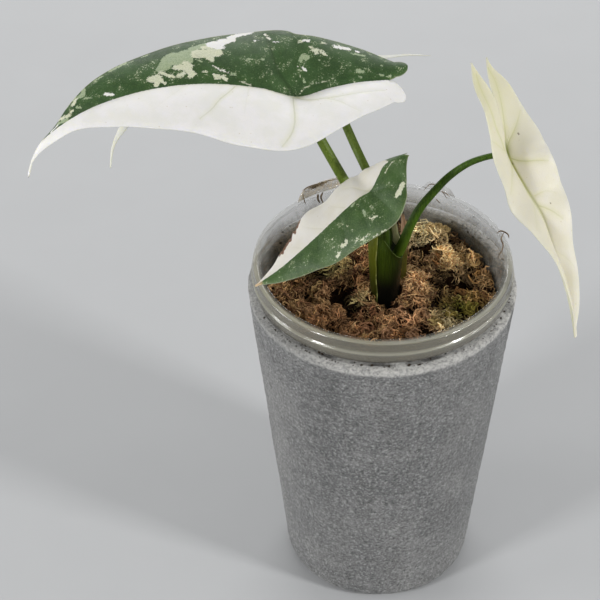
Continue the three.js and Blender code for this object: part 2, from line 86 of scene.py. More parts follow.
# Each leaf follows the CAD model, with small changes to its folds, widths and lobes. With it are its
# veins and markings, which are placed on the flat blade: a place is (u, v), u along the rib from the
# lobes to the tip and v across one half from the rib to the margin, both in thousandths. The halves
# are 0 (right of the rib) and 1. A vein is its half, how plainly it shows at its start and end, the
# depth of its groove in mm and the places it passes. A mark is a blotch of paler tissue: its radius
# in mm and the places it passes.
LEAVES = {
    "leaf_1": {
        "spine": [
            (11.8, 22, 266), (-11, 19, 266.5), (-24, 17, 265), (-38, 15, 262), (-55, 15, 267),
            (-80, 15, 269.5), (-105, 14, 267), (-131, 12, 258.5), (-151, 10, 244.5),
            (-157, 9.5, 235), (-160, 9, 224.5),
        ],
        "up": (0, -0.24, 0.97),
        "sinus": 0.052,
        "start": (0.0, 0.018),
        "round": 0.03,
        "tip_half": 0.85,
        "width": (7.5, 20, 30.5, 36, 33, 27.5, 23, 16.5, 8.5, 3, 0),
        "fold": (
            (0, 3, 7, 3, -1, -2, -1, 4, -2, -45, -45),
            (-10, 8, 14, 5, -1, 0, 1, 9, 12, -10, 0),
        ),
        "wave": (0.5, 4, 0.4),
        "bridge": 0.4,
        "halves": ("green", "white"),
        "green_ends": (0.885, 0.925),
        "junction": 0.264,
        "rib": (0.75, 0.72),
        "veins": [
            (0, 1, 0.8, 1.3, [(268, 20), (290, 170), (315, 300), (335, 550), (352, 960)]),
            (0, 0.6, 0.3, 0.35, [(367, 20), (395, 80), (427, 180), (460, 320), (500, 600)]),
            (0, 0.5, 0.2, 0.35, [(258, 50), (225, 100), (182, 130), (113, 170), (55, 320)]),
            (0, 0.2, 0.1, 0.2, [(500, 20), (540, 200), (600, 600)]),
            (0, 0.2, 0.1, 0.2, [(620, 20), (670, 300), (720, 700)]),
            (1, 0.9, 0.6, 0.4, [(275, 30), (275, 320), (275, 500), (280, 730), (297, 950)]),
            (1, 0.8, 0.4, 0.3, [(408, 20), (425, 180), (443, 330), (460, 520), (490, 750)]),
            (1, 0.2, 0.1, 0.2, [(378, 50), (383, 300), (385, 520)]),
            (1, 0.8, 0.3, 0.35, [(265, 30), (238, 150), (198, 300), (158, 370), (65, 470)]),
            (1, 0.5, 0.1, 0.25, [(198, 320), (175, 500), (158, 680), (133, 920)]),
            (1, 0.15, 0.05, 0.15, [(520, 20), (560, 300), (600, 600)]),
        ],
        "pale": [
            (3.0, [(565, 470), (552, 630), (532, 630), (512, 650)]), (2.4, [(537, 480), (515, 500)]),
            (1.8, [(505, 730), (480, 770)]), (1.4, [(578, 420), (570, 380)]),
            (0.8, [(688, 950), (667, 930), (650, 960)]), (0.5, [(640, 900), (635, 920)]),
            (0.5, [(615, 950), (600, 930)]), (0.6, [(720, 920), (705, 900)]),
            (0.5, [(730, 920), (720, 830)]), (1.3, [(753, 920), (755, 700), (765, 770)]),
            (0.7, [(785, 1000), (775, 930)]), (0.5, [(755, 500), (740, 370)]),
            (0.5, [(777, 400), (768, 220)]), (0.5, [(805, 970), (795, 1000)]),
            (1.0, [(835, 330), (823, 230), (810, 120)]), (0.7, [(420, 170), (410, 170)]),
            (1.4, [(242, 520), (233, 570), (220, 550)]), (0.6, [(122, 700), (107, 720), (95, 730)]),
            (1.0, [(115, 270), (107, 250)]), (0.6, [(242, 230), (242, 180)]),
            (0.5, [(193, 480), (193, 460)]), (0.5, [(390, 420), (378, 420)]),
            (0.5, [(357, 430), (353, 430)]), (0.5, [(115, 120), (111, 120)]),
            (0.5, [(68, 170), (60, 170)]), (0.4, [(52, 130), (43, 180)]),
            (0.4, [(62, 520), (60, 520)]), (0.5, [(487, 430), (497, 480)]),
        ],
        "cream": [
            (2.6, [(495, 600), (475, 580), (453, 580)]), (1.5, [(478, 730), (463, 730)]),
            (1.1, [(470, 480), (463, 430)]), (1.6, [(540, 370), (520, 330), (510, 250)]),
            (1.1, [(522, 450), (508, 350)]), (0.9, [(537, 180), (522, 230)]),
            (1.1, [(503, 200), (510, 150)]), (0.9, [(575, 320), (560, 230), (547, 180)]),
            (1.7, [(598, 220), (583, 220)]), (1.2, [(583, 130), (588, 80)]),
            (0.7, [(575, 150), (568, 70)]), (1.1, [(777, 770), (785, 670)]),
            (0.7, [(797, 380), (790, 370)]), (0.9, [(830, 680), (815, 400), (800, 250)]),
            (1.0, [(453, 100), (440, 120), (430, 80)]), (0.7, [(458, 150), (445, 130)]),
            (0.45, [(398, 70), (375, 30)]), (0.5, [(482, 220), (473, 220)]),
            (0.8, [(236, 830), (223, 850)]), (0.5, [(205, 770), (203, 730)]),
            (0.9, [(200, 680), (193, 650), (190, 700)]), (0.8, [(182, 650), (177, 580)]),
            (0.6, [(177, 850), (170, 850)]), (0.5, [(200, 620), (193, 600)]),
        ],
        "white": [
            (2.2, [(465, 780), (450, 780), (438, 820)]), (1.3, [(455, 700), (443, 680)]),
            (1.6, [(425, 880), (408, 950), (385, 1000)]), (1.0, [(435, 780), (417, 830)]),
            (0.8, [(705, 230), (690, 150)]), (0.4, [(460, 320), (445, 250), (427, 200)]),
            (0.55, [(352, 930), (348, 870), (343, 820)]), (0.5, [(375, 780), (367, 780)]),
            (0.4, [(333, 750), (323, 750)]), (0.8, [(217, 870), (203, 870)]),
            (0.6, [(240, 400), (230, 350)]), (0.4, [(256, 430), (254, 430)]),
            (1.0, [(152, 820), (143, 820), (125, 830)]), (0.5, [(110, 820), (105, 800)]),
            (0.5, [(860, 100), (845, 200), (835, 230)]),
        ],
        "fine": [
            # The first is a painted highlight along the crease near the junction.
            (0.4, [(257, 50), (249, 100), (235, 130), (215, 138), (190, 125)]),
            (0.3, [(460, 300), (445, 250), (425, 190)]), (0.25, [(262, 200), (252, 260), (250, 340)]),
        ],
        "grid": (210, 34),
    },
    "leaf_2": {
        "spine": [
            (23.3, 53, 257.5), (11, 53, 258), (-12, 49, 256), (-26, 45, 253), (-37, 44, 256),
            (-54, 43, 258), (-71, 42, 257), (-87, 41, 253), (-102, 40, 245.5), (-112.5, 39, 238),
            (-119.5, 38.5, 229), (-124, 38, 220), (-126, 38, 208),
        ],
        "up": (0, 0.19, 0.98),
        "sinus": 0.17,
        "start": (0.0, 0.1),
        "round": 0.0,
        "tip_half": 0.85,
        "width": (2.6, 8.5, 16, 22.5, 23, 20, 16, 11, 5, 1.3, 0),
        "fold": ((-15, -18, 0, 4, 0, 0, 0, 0, 20, 55, 60), (-20, 0, 6, 4, 0, 0, 0, 5, -10, -55, -60)),
        "wave": (0.6, 3, 1.5),
        "halves": ("white", "white"),
        "junction": 0.3,
        "rib": (0.7, 0.8),
        "veins": [
            (side, 0.8, 0.3, 0.35, [(start, 20), (start + lean * 0.4, 450), (start + lean, 950)])
            for side in (0, 1)
            for start, lean in ((290, 50), (400, 90), (520, 100), (640, 100), (760, 80), (280, -120))
        ],
        "grid": (150, 22),
    },
    "leaf_3": {
        "spine": [
            (9.6, -8.3, 247.8), (-0.5, -12, 243.8), (-3.2, -15, 240), (-6.6, -18, 234.7),
            (-12, -19.5, 231.6), (-17.2, -21, 227.3), (-32.2, -25, 213), (-47.4, -28, 199),
            (-53.8, -29.5, 194.7), (-58.3, -30.5, 192),
        ],
        "up": (-0.5, -0.2, 0.85),
        "sinus": 0.02,
        "ease": 80,
        "start": (0.0, 0.0),
        "round": 0.0,
        "tip_half": 0.7,
        "width": (1.2, 13.5, 20, 22, 20.5, 18.5, 16.5, 13, 9, 5, 0),
        "fold": (
            (-40, -38, -23, -17, -14, -12, 0, 3, 1, -12, -14),
            (-30, -14, -7, -12, -12, -14, -14, -12, -13, -10, -10),
        ),
        "wave": (0.3, 5, 0.0),
        "halves": ("white", "green"),
        "green_ends": (0.99, 1.0),
        "green_lobe": 0.1,
        "junction": 0.265,
        "rib": (0.4, 0.6),
        "veins": [
            (0, 0.6, 0.2, 0.15, [(265, 20), (297, 200), (335, 450), (372, 620), (400, 800)]),
            (0, 0.4, 0.1, 0.08, [(410, 70), (453, 330), (490, 680)]),
            (0, 0.4, 0.1, 0.08, [(562, 80), (613, 380), (652, 770)]),
            (0, 0.3, 0.1, 0.05, [(700, 60), (740, 400), (780, 750)]),
            (1, 0.5, 0.3, 0.3, [(263, 20), (255, 420), (258, 820)]),
            (1, 0.5, 0.3, 0.3, [(263, 20), (210, 330), (163, 670)]),
            (1, 0.4, 0.2, 0.3, [(345, 20), (350, 430), (370, 830)]),
            (1, 0.4, 0.2, 0.3, [(455, 20), (470, 450), (500, 830)]),
            (1, 0.3, 0.1, 0.2, [(600, 20), (630, 450), (670, 830)]),
        ],
        "pale": [
            (0.6, [(360, 30), (375, 60)]), (0.5, [(340, 350), (343, 470)]),
            (0.3, [(408, 950), (438, 960)]), (0.3, [(560, 500), (570, 520)]),
        ],
        "cream": [
            (1.0, [(130, 880), (180, 780), (198, 750)]), (0.55, [(338, 580), (325, 620), (312, 630)]),
            (0.9, [(517, 730), (500, 750), (487, 700)]), (0.7, [(550, 830), (570, 880)]),
            (0.2, [(458, 880), (443, 820), (422, 830)]), (0.2, [(430, 900), (400, 880), (372, 880)]),
            (0.15, [(372, 970), (307, 980)]), (0.3, [(88, 80), (118, 180), (147, 200)]),
            (0.3, [(560, 630), (556, 620)]), (0.3, [(540, 420), (536, 420)]),
            (0.3, [(445, 400), (440, 400)]),
        ],
        "burn": (0.62, 0.84),
        "grid": (200, 38),
    },
    "leaf_4": {
        "spine": [
            (42.2, 24, 274.5), (44.2, 20.3, 269), (49.3, 13.6, 258.5), (52.2, 6.2, 247.6),
            (54.1, 0, 240), (61.5, -9, 229), (68.9, -16.7, 219.2), (73.7, -22.2, 207.8),
            (79.6, -29, 193.6), (83.1, -34, 181.4), (85.6, -38, 165.2),
        ],
        "up": (0.45, -0.75, 0.5),
        "sinus": 0.13,
        "start": (0.0, 0.0),
        "round": 0.0,
        "tip_half": 1.1,
        "width": (8, 15, 18.5, 18, 17.5, 15.5, 12, 9, 6, 3.3, 0),
        "fold": (
            (28, 37, 40, 41, 37, 21, 34, 50, 55, 58, 58),
            (-38, -28, -18, 14, 31, 7, 22, 8, 20, 15, 15),
        ),
        "wave": (0.3, 4, 2.0),
        "halves": ("cream", "cream"),
        "junction": 0.31,
        "rib": (0.95, 0.72),
        "veins": [
            (0, 0.8, 0.4, 0.15, [(307, 300), (247, 600), (170, 720), (98, 760), (37, 780)]),
            (0, 0.4, 0.2, 0.1, [(307, 450), (285, 800), (273, 980)]),
            (0, 0.6, 0.2, 0.15, [(355, 50), (375, 300), (400, 580), (440, 870)]),
            (0, 0.2, 0.1, 0.1, [(500, 50), (540, 400), (580, 800)]),
            (1, 0.8, 0.4, 0.15, [(307, 20), (242, 70), (177, 130), (130, 200), (83, 350), (33, 550)]),
            (1, 0.8, 0.2, 0.15, [(307, 30), (270, 180), (225, 470), (193, 770)]),
            (1, 0.9, 0.3, 0.2, [(335, 20), (362, 250), (385, 570), (408, 870)]),
            (1, 0.7, 0.2, 0.15, [(515, 30), (555, 370), (590, 660)]),
            (1, 0.3, 0.1, 0.1, [(485, 100), (490, 430), (515, 720)]),
            (1, 0.2, 0.1, 0.1, [(680, 50), (720, 450), (760, 800)]),
        ],
        "stain": [
            (0.5, [(262, 370), (266, 390)]), (0.3, [(285, 360), (287, 370)]),
            (0.45, [(354, 30), (360, 50)]), (0.35, [(530, 400), (533, 410)]),
        ],
        "grid": (230, 30),
    },
}
STALKS = {
    "leaf_1": [
        (-2.2, -1, 186), (-3.6, 0, 197), (-9.5, 2.5, 209), (-17.2, 5.5, 222.3),
        (-28, 10.5, 242.2), (-34.5, 13.4, 254.5), (-38.6, 15.2, 264),
    ],
    "leaf_2": [
        (2.2, 0, 186), (2.4, 1.6, 196), (-0.3, 8, 206), (-7.1, 18, 219.4),
        (-11.6, 25, 226.5), (-17, 32.5, 236.5), (-26.3, 45.2, 254),
    ],
    "leaf_3": [(0.8, -6.4, 186), (1, -7, 197), (-0.2, -10.4, 211), (-3.2, -14.4, 224), (-6.9, -18.3, 237)],
    "leaf_4": [
        (6.2, -3.4, 186), (9, -4, 194.5), (12, -3.7, 204), (16.2, -3.2, 213.6), (22, -2.4, 221.8),
        (29.2, -1.2, 230), (38, -0.6, 236.6), (48.2, -0.2, 240), (56.5, -0.1, 240.3),
    ],
}
# Up to 0.5 mm more than in the CAD model
STALK_RADII = {
    "leaf_1": (2.3, 2.4, 2.35, 2.3, 2.25, 2.2, 2.1),
    "leaf_2": (1.9, 2.0, 2.0, 2.0, 2.0, 1.9, 1.8),
    "leaf_3": (1.9, 1.9, 1.8, 1.7, 1.6),
    "leaf_4": (2.7, 2.4, 2.1, 2, 1.85, 1.7, 1.5, 1.35, 1.3),
}
# Spines and half widths. The pale one stands up to 3.4 mm nearer the front than in the CAD model
SCALES = {
    "cataphyll_pale": (
        [(7.4, 2.6, 156), (7.0, 1.6, 172), (5.6, -0.2, 189), (5.0, 1.2, 206.4)], (2.6, 3.0, 3.0, 0.5),
    ),
    "cataphyll_dry": (
        [(9.9, 5, 157), (10.3, 5.4, 173), (10.1, 6.6, 190), (8.9, 8.6, 205)], (2.4, 2.6, 2, 0.3),
    ),
}


def screen(red, green, blue):
    """A 0-255 screen colour as the linear colour a shader takes."""
    def linear(c):
        c /= 255
        return c / 12.92 if c <= 0.04045 else ((c + 0.055) / 1.055) ** 2.4

    return (linear(red), linear(green), linear(blue))


# ---- Curves and meshes

STEPS_PER_SPAN = 80  # points between two given ones, before a curve is divided evenly


def unit(v):
    return v / np.maximum(np.linalg.norm(v, axis=-1, keepdims=True), 1e-9)


def curve_through(points, count=1200):
    """Points and directions at equal steps along a centripetal Catmull-Rom curve, and its length."""
    p = np.array(points, float)
    p = np.vstack([2 * p[0] - p[1], p, 2 * p[-1] - p[-2]])
    pieces = []
    t = np.linspace(0, 1, STEPS_PER_SPAN)[:, None]
    for p0, p1, p2, p3 in zip(p, p[1:], p[2:], p[3:]):
        d0, d1, d2 = (max(np.linalg.norm(b - a) ** 0.5, 1e-4) for a, b in ((p0, p1), (p1, p2), (p2, p3)))
        m1 = ((p1 - p0) / d0 - (p2 - p0) / (d0 + d1) + (p2 - p1) / d1) * d1
        m2 = ((p2 - p1) / d1 - (p3 - p1) / (d1 + d2) + (p3 - p2) / d2) * d1
        pieces.append(
            p1 + m1 * t + (3 * (p2 - p1) - 2 * m1 - m2) * t**2 + (2 * (p1 - p2) + m1 + m2) * t**3
        )
    dense = np.vstack(pieces)
    run = np.concatenate([[0], np.cumsum(np.linalg.norm(np.diff(dense, axis=0), axis=1))])
    at = np.linspace(0, run[-1], count)
    line = np.stack([np.interp(at, run, dense[:, k]) for k in range(3)], 1)
    return line, unit(np.gradient(line, axis=0)), run[-1]


def sample(rows, u):
    """Rows given at equal steps from 0 to 1, read at each u."""
    at = np.linspace(0, 1, len(rows))
    return np.stack([np.interp(u, at, rows[:, k]) for k in range(rows.shape[1])], -1)


def along(values, u):
    """A list given at equal steps from 0 to 1, with a smooth curve through it, read at each u."""
    v = np.array(values, float)
    last = len(v) - 1
    place = np.clip(u, 0, 1) * last
    i = np.minimum(place.astype(int), last - 1)
    t = place - i
    a, b = v[i], v[i + 1]
    slope_in = (b - v[np.maximum(i - 1, 0)]) / 2
    slope_out = (v[np.minimum(i + 2, last)] - a) / 2
    return (
        (2 * a - 2 * b + slope_in + slope_out) * t**3
        + (3 * b - 3 * a - 2 * slope_in - slope_out) * t**2
        + slope_in * t
        + a
    )


def bumps(points, scale, seed=0.0):
    """Smooth noise from about -1 to 1 at each point, with lumps about 1/scale across."""
    shift = Vector((seed, seed * 1.7, seed * 0.6))
    flat = np.asarray(points, float).reshape(-1, 3)
    values = [noise.noise(Vector(p) * scale + shift) for p in flat]
    return np.array(values).reshape(np.shape(points)[:-1])


def grid_faces(rows, columns, first=0, closed=False):
    """Quads between neighbouring rows of points. Closed joins each row's end to its start."""
    i, j = np.meshgrid(np.arange(rows - 1), np.arange(columns if closed else columns - 1), indexing="ij")
    k = (j + 1) % columns
    low, high = i * columns, (i + 1) * columns
    return np.stack([low + j, low + k, high + k, high + j], -1).reshape(-1, 4) + first


def ring_faces(rows, sides):
    """Faces of a solid made of closed rings of points, with a cap on its first and its last ring."""
    end = rows * sides
    faces = [tuple(f) for f in grid_faces(rows, sides, closed=True)]
    return [*faces, tuple(range(sides))[::-1], tuple(range(end - sides, end))]


def shell_faces(faces, count):
    """Faces of a thin shell: a sheet, the same sheet turned over on the next points, and the rim."""
    sides = {(a, b) for f in faces for a, b in zip(f, f[1:] + f[:1])}
    shell = faces + [tuple(v + count for v in f[::-1]) for f in faces]
    return shell + [(b, a, a + count, b + count) for a, b in sides if (b, a) not in sides]


def tube(line, radius, sides):
    """Vertices and faces of a closed round tube along a line of points."""
    line = np.asarray(line, float)
    radius = np.broadcast_to(radius, len(line))
    tangent = unit(np.gradient(line, axis=0))
    side = np.cross(tangent[0], (0.31, 0.9, 0.3))
    across = []
    for direction in tangent:
        side = side - direction * np.dot(side, direction)
        side = side / np.linalg.norm(side)
        across.append(side)
    across = np.array(across)
    other = np.cross(tangent, across)
    turn = np.linspace(0, 2 * math.pi, sides, endpoint=False)
    ring = across[:, None] * np.cos(turn)[:, None] + other[:, None] * np.sin(turn)[:, None]
    vertices = (line[:, None] + ring * radius[:, None, None]).reshape(-1, 3)
    return vertices, ring_faces(len(line), sides)


def tubes(drawn, sides):
    """Vertices and faces of many tubes, each given as a line and its radii."""
    vertices, faces, offset = [], [], 0
    for line, radius in drawn:
        v, f = tube(line, radius, sides)
        vertices.append(v)
        faces += [tuple(i + offset for i in face) for face in f]
        offset += len(v)
    return np.vstack(vertices), faces


def make_piece(name, vertices, faces, slot, material, replaces=(), attributes=None):
    """A smooth mesh object from millimetre points, riding on the part's one body."""
    mesh = bpy.data.meshes.new(name)
    mesh.from_pydata((np.asarray(vertices) * MM).tolist(), [], [list(f) for f in faces])
    for key, values in (attributes or {}).items():
        values = np.asarray(values, np.float32)
        kind, field = ("FLOAT_VECTOR", "vector") if values.ndim == 2 else ("FLOAT", "value")
        mesh.attributes.new(key, kind, "POINT").data.foreach_set(field, values.ravel())
    mesh.polygons.foreach_set("use_smooth", [True] * len(mesh.polygons))
    mesh.materials.append(material)
    piece = bpy.data.objects.new(name, mesh)
    bpy.context.scene.collection.objects.link(piece)
    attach(piece, "root")
    if replaces:
        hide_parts(*replaces)


# ---- Shader building


class Shader:
    """A material whose values may be numbers, 0-255 screen colours or the sockets of other nodes."""

    def __init__(self, name, **constants):
        self.material = bpy.data.materials.new(name)
        self.material.use_nodes = True
        self.tree = self.material.node_tree
        self.surface = self.tree.nodes["Principled BSDF"]
        for key, value in constants.items():
            self.set(key.replace("_", " "), value)
        position = self.node("ShaderNodeTexCoord").outputs["Object"]
        self.mm = self.vector("SCALE", position, scale=1 / MM)

    def set(self, key, value):
        names = {socket.name.lower(): socket for socket in self.surface.inputs}
        self.feed(names[key.lower()], value)

    def feed(self, socket, value):
        if isinstance(value, bpy.types.NodeSocket):
            self.tree.links.new(value, socket)
        elif socket.type == "RGBA" and len(value) == 3:
            socket.default_value = (*screen(*value), 1)
        else:
            socket.default_value = value

    def node(self, kind, inputs=(), **settings):
        made = self.tree.nodes.new(kind)
        for key, value in settings.items():
            setattr(made, key, value)
        for socket, value in zip(made.inputs, inputs):
            if value is not None:
                self.feed(socket, value)
        return made

    def vector(self, operation, a, b=None, scale=None):
        made = self.node("ShaderNodeVectorMath", [a, b], operation=operation)
        if scale is not None:
            self.feed(made.inputs["Scale"], scale)
        return made.outputs["Value" if operation == "LENGTH" else "Vector"]

    def math(self, operation, a, b=None, c=None):
        return self.node("ShaderNodeMath", [a, b, c], operation=operation).outputs[0]

    def times(self, a, b):
        return self.math("MULTIPLY", a, b)

    def most(self, first, *others):
        for other in others:
            first = self.math("MAXIMUM", first, other)
        return first

    def band(self, value, low, high, to_low=0.0, to_high=1.0):
        """Value eased from low..high to to_low..to_high, and held there outside."""
        made = self.node(
            "ShaderNodeMapRange", [value, low, high, to_low, to_high], interpolation_type="SMOOTHSTEP"
        )
        return made.outputs["Result"]

    def mix(self, share, a, b, blend="MIX"):
        made = self.node("ShaderNodeMix", data_type="RGBA", blend_type=blend)
        for key, value in (("Factor_Float", share), ("A_Color", a), ("B_Color", b)):
            self.feed(next(s for s in made.inputs if s.identifier == key), value)
        return next(s for s in made.outputs if s.identifier == "Result_Color")

    def ramp(self, value, low, high, a, b):
        """Colour a where the value is at its low, easing to b at its high."""
        return self.mix(self.band(value, low, high), a, b)

    def over(self, color, *layers):
        """A colour with layers laid over it one by one, each a share and its colour."""
        for share, layer in layers:
            color = self.mix(share, color, layer)
        return color

    def noise(self, scale, detail=3.0, rough=0.55, stretch=None):
        at = self.vector("MULTIPLY", self.mm, stretch) if stretch else self.mm
        made = self.node("ShaderNodeTexNoise")
        for key, value in (("Vector", at), ("Scale", scale), ("Detail", detail), ("Roughness", rough)):
            self.feed(made.inputs[key], value)
        return made.outputs[0]

    def cells(self, scale, feature="F1", at=None):
        made = self.node("ShaderNodeTexVoronoi", feature=feature)
        self.feed(made.inputs["Vector"], at or self.mm)
        self.feed(made.inputs["Scale"], scale)
        return made.outputs["Distance"]

    def xyz(self):
        return self.node("ShaderNodeSeparateXYZ", [self.mm]).outputs

    def radius(self):
        """The distance from the pot's axis, in mm."""
        return self.vector("LENGTH", self.vector("MULTIPLY", self.mm, (1, 1, 0)))

    def carried(self, name, output="Fac"):
        """What a piece's points carry under a name."""
        return self.node("ShaderNodeAttribute", attribute_name=name).outputs[output]

    def carried_three(self, name):
        """The three values that a piece's points carry under a name."""
        return self.node("ShaderNodeSeparateXYZ", [self.carried(name, "Vector")]).outputs

    def bump(self, height, depth):
        made = self.node("ShaderNodeBump")
        self.feed(made.inputs["Distance"], depth * MM)
        self.feed(made.inputs["Height"], height)
        return made.outputs[0]


# ---- Leaves

EASE, BRIDGE_EASE = 36, 90  # half widths, in points of the rib's line, that its turns are eased over
FAR = 9.0  # mm, where the distance to a vein stops counting
OUTSIDE = -4.0  # mm, the field of a mark where there is none
WITHIN = 4.0  # mm, the field of white tissue on a blade that has no other
MARKS = ("pale", "cream", "white", "fine", "stain")
CARRIED = ("lamina", "vein", "tissue", "place", "burnt")


def smoothed(rows, spread):
    """Rows averaged with their neighbours over a bell of the given half width, in rows."""
    reach = int(3 * spread)
    bell = np.exp(-0.5 * (np.arange(-reach, reach + 1) / spread) ** 2)
    padded = np.pad(rows, ((reach, reach), (0, 0)), mode="edge")
    bell = bell / bell.sum()
    return np.stack([np.convolve(padded[:, k], bell, "valid") for k in range(rows.shape[1])], -1)


def nearest_on(line, at):
    """How far flat points are from a line, on which side, and how far along it they are, 0 to 1."""
    away, side, place = np.full(len(at), 1e6), np.ones(len(at)), np.zeros(len(at))
    for k, (start, end) in enumerate(zip(line, line[1:])):
        step = end - start
        t = np.clip(((at - start) @ step) / max(step @ step, 1e-9), 0, 1)
        gap = at - start - t[:, None] * step
        distance = np.hypot(*gap.T)
        closer = distance < away
        away = np.where(closer, distance, away)
        side = np.where(closer, np.sign(step[0] * gap[:, 1] - step[1] * gap[:, 0] + 1e-9), side)
        place = np.where(closer, (k + t) / (len(line) - 1), place)
    return away, side, place


def flat_line(leaf, places, length):
    """A line through places on one half of a blade, in mm along and across the flat blade."""
    u, v = np.array(places, float).T / 1000
    across = v * np.maximum(along(leaf["width"], u), 0)
    flat = np.stack([u * length, across, u * 0], -1)
    return curve_through(flat, 24)[0][:, :2] if len(places) > 2 else flat[:, :2]


def vein_fields(leaf, half, at, length):
    """For each flat point: the nearest vein's signed and plain distance, its strength and the groove."""
    nearest, signed = np.full(len(at), 1e6), np.full(len(at), 1e6)
    strength, groove = np.zeros(len(at)), np.zeros(len(at))
    for on_half, first, last, depth, places in leaf["veins"]:
        if on_half != half:
            continue
        away, side, place = nearest_on(flat_line(leaf, places, length), at)
        shown = first + (last - first) * place
        wide = 1.1 + 3.2 * max(depth - 0.4, 0)
        groove = groove + depth * np.exp(-((away / wide) ** 2)) * (1 - 0.6 * place)
        closer = away < nearest
        nearest, signed = np.where(closer, away, nearest), np.where(closer, away * side, signed)
        strength = np.where(closer, shown * (place < 0.999), strength)
    return np.minimum(nearest, FAR), np.clip(signed, -FAR, FAR), strength, groove


def mark_field(leaf, kind, at, length):
    """How far inside a kind of blotch each flat point is, in mm."""
    field = np.full(len(at), OUTSIDE)
    for radius, places in leaf.get(kind, ()):
        field = np.maximum(field, radius - nearest_on(flat_line(leaf, places, length), at)[0])
    return field


def blade_outline(leaf, start, u, length):
    """How far from the rib one half of a blade begins and ends at each u, in mm."""
    sinus, blunt, tip = leaf["sinus"], leaf["round"], leaf["tip_half"]

    def edges(at):
        outer = np.maximum(along(leaf["width"], at), 0)
        to_tip = np.clip((sinus - at) / (sinus - start), 0, 1)
        inner = along(leaf["width"], np.array([start]))[0] * to_tip ** BLADE["bluntness"]
        return inner, np.maximum(outer, inner)

    inner, width = edges(u)
    width = np.maximum(width, tip * np.sqrt(np.clip((1 - u) * length / tip, 0, 1)))
    if blunt:
        near = np.clip(1 - (u - start) / blunt, 0, 1)
        low, high = edges(np.array([start + blunt]))
        middle = (inner + width) / 2
        half_width = np.where(near > 0, (high - low) / 2 * np.sqrt(1 - near**2), (width - inner) / 2)
        inner, width = middle - half_width, middle + half_width
    return inner, width


def tissue_fields(leaf, half, u, reach, width, flat, length):
    """How far inside the white tissue and inside each kind of mark each point is, in mm."""
    green = leaf["halves"][half] == "green"
    if green:
        begin, end = leaf["green_ends"]
        white = width * np.clip((u - begin) / (end - begin), 0, 1.3) - reach
    elif leaf["halves"][0] == leaf["halves"][1]:
        white = np.full_like(reach, WITHIN)
    else:
        white = reach
    if "green_lobe" in leaf and half == 0:
        white = np.minimum(white, (u - leaf["green_lobe"]) * length)
    marks = {}
    for kind in MARKS:
        here = half == 1 if kind == "stain" else green
        marks[kind] = mark_field(leaf, kind if here else None, flat, length).reshape(u.shape)
    return white, marks


def blade_half(leaf, half):
    """Grid of middle points of one half of a blade, and what each point carries."""
    line, tangent, length = curve_through(leaf["spine"])
    tangent = smoothed(tangent, leaf.get("ease", EASE))
    bridge = (smoothed(line, BRIDGE_EASE) - line)[:, 2:] * leaf.get("bridge", 0)
    steps, columns = leaf["grid"]
    sign = 1 if half == 0 else -1
    start, sinus = leaf["start"][half], leaf["sinus"]
    lobe = start + (sinus - start) * np.linspace(0, 1, max(int(steps * sinus * 1.6), 9)) ** 1.4
    u = np.concatenate([lobe, np.linspace(sinus, 1, steps)[1:]])
    centre, forward = sample(line, u), unit(sample(tangent, u))
    right = unit(np.cross(forward, leaf["up"]))
    normal = np.cross(right, forward)[:, None]
    right = sign * right[:, None]
    fold = np.radians(along(leaf["fold"][half], u))[:, None, None]
    out = right * np.cos(fold) + normal * np.sin(fold)
    face = normal * np.cos(fold) - right * np.sin(fold)

    inner, width = (side[:, None] for side in blade_outline(leaf, start, u, length))
    u, s = np.broadcast_arrays(u[:, None], np.linspace(0, 1, columns))
    reach = inner + (width - inner) * s
    flat = np.stack([u * length, reach], -1).reshape(-1, 2)
    nearest, signed, strength, groove = (f.reshape(u.shape) for f in vein_fields(leaf, half, flat, length))
    edge = np.where(u < sinus, np.minimum(width - reach, reach - inner), width - reach)
    height, cycles, phase = leaf["wave"]
    wave = np.sin(2 * math.pi * cycles * u + phase + sign)
    lift = BLADE["pillow"] * width * 4 * s * (1 - s) + height * wave * s**2 * np.minimum(width / 12, 1)
    lift = lift - groove * np.clip(edge / 4, 0, 1) * np.clip(reach / 2, 0, 1)
    points = centre[:, None] + out * reach[..., None] + face * lift[..., None]
    points[..., 2] += sample(bridge, u[:, 0]) * (reach / np.maximum(width, 1)) ** 1.3
    uneven = 0.22 * bumps(points, 0.09, 3.0) * np.clip(reach / 6, 0, 1)
    points = points + face * uneven[..., None]

    white, marks = tissue_fields(leaf, half, u, reach, width, flat, length)
    first, last = leaf["rib"]
    junction = leaf["junction"]
    past = (u - junction) / (last - junction)
    rib = first * np.clip(1 - past, 0, 1) * np.clip(1 + past * 12, 0, 1)
    spot = np.exp(-(((u - junction) * length / 3.4) ** 2) - (reach / 2.2) ** 2)
    burnt = np.zeros_like(reach)
    if "burn" in leaf and half == 0:
        low, high = leaf["burn"]
        inside = np.clip(1 - np.abs((u - (low + high) / 2) / ((high - low) / 2)) ** 4, 0, 1)
        gnaw = bumps(points[:, -1], 0.45, 3.0)[:, None]
        burnt = inside * np.clip(2.9 + gnaw * 4.2 - edge, 0, 1.5)
        bite = inside[:, -1:] * np.clip(gnaw + 0.12, 0, 1) * 2.6 * s**6
        points = points - out * bite[..., None]
    return {
        "points": points,
        "lamina": np.stack([u * length, sign * reach, edge], -1),
        "vein": np.stack([signed, nearest, strength], -1),
        "tissue": np.stack([np.maximum(white, marks["white"]), marks["cream"], marks["pale"]], -1),
        "place": np.stack([u, rib, spot], -1),
        "burnt": np.stack([burnt, marks["fine"], marks["stain"]], -1),
        "ridge": np.where(u >= sinus, np.sqrt(np.sin(math.pi * np.clip(u, 0, 1))), 0.0),
    }


def face_normals(vertices, faces):
    """A smooth normal at each vertex of a sheet of faces."""
    normals = np.zeros_like(vertices)
    for f in faces:
        cross = np.cross(vertices[f[1]] - vertices[f[0]], vertices[f[2]] - vertices[f[0]])
        normals[list(f)] += cross
    return unit(normals)


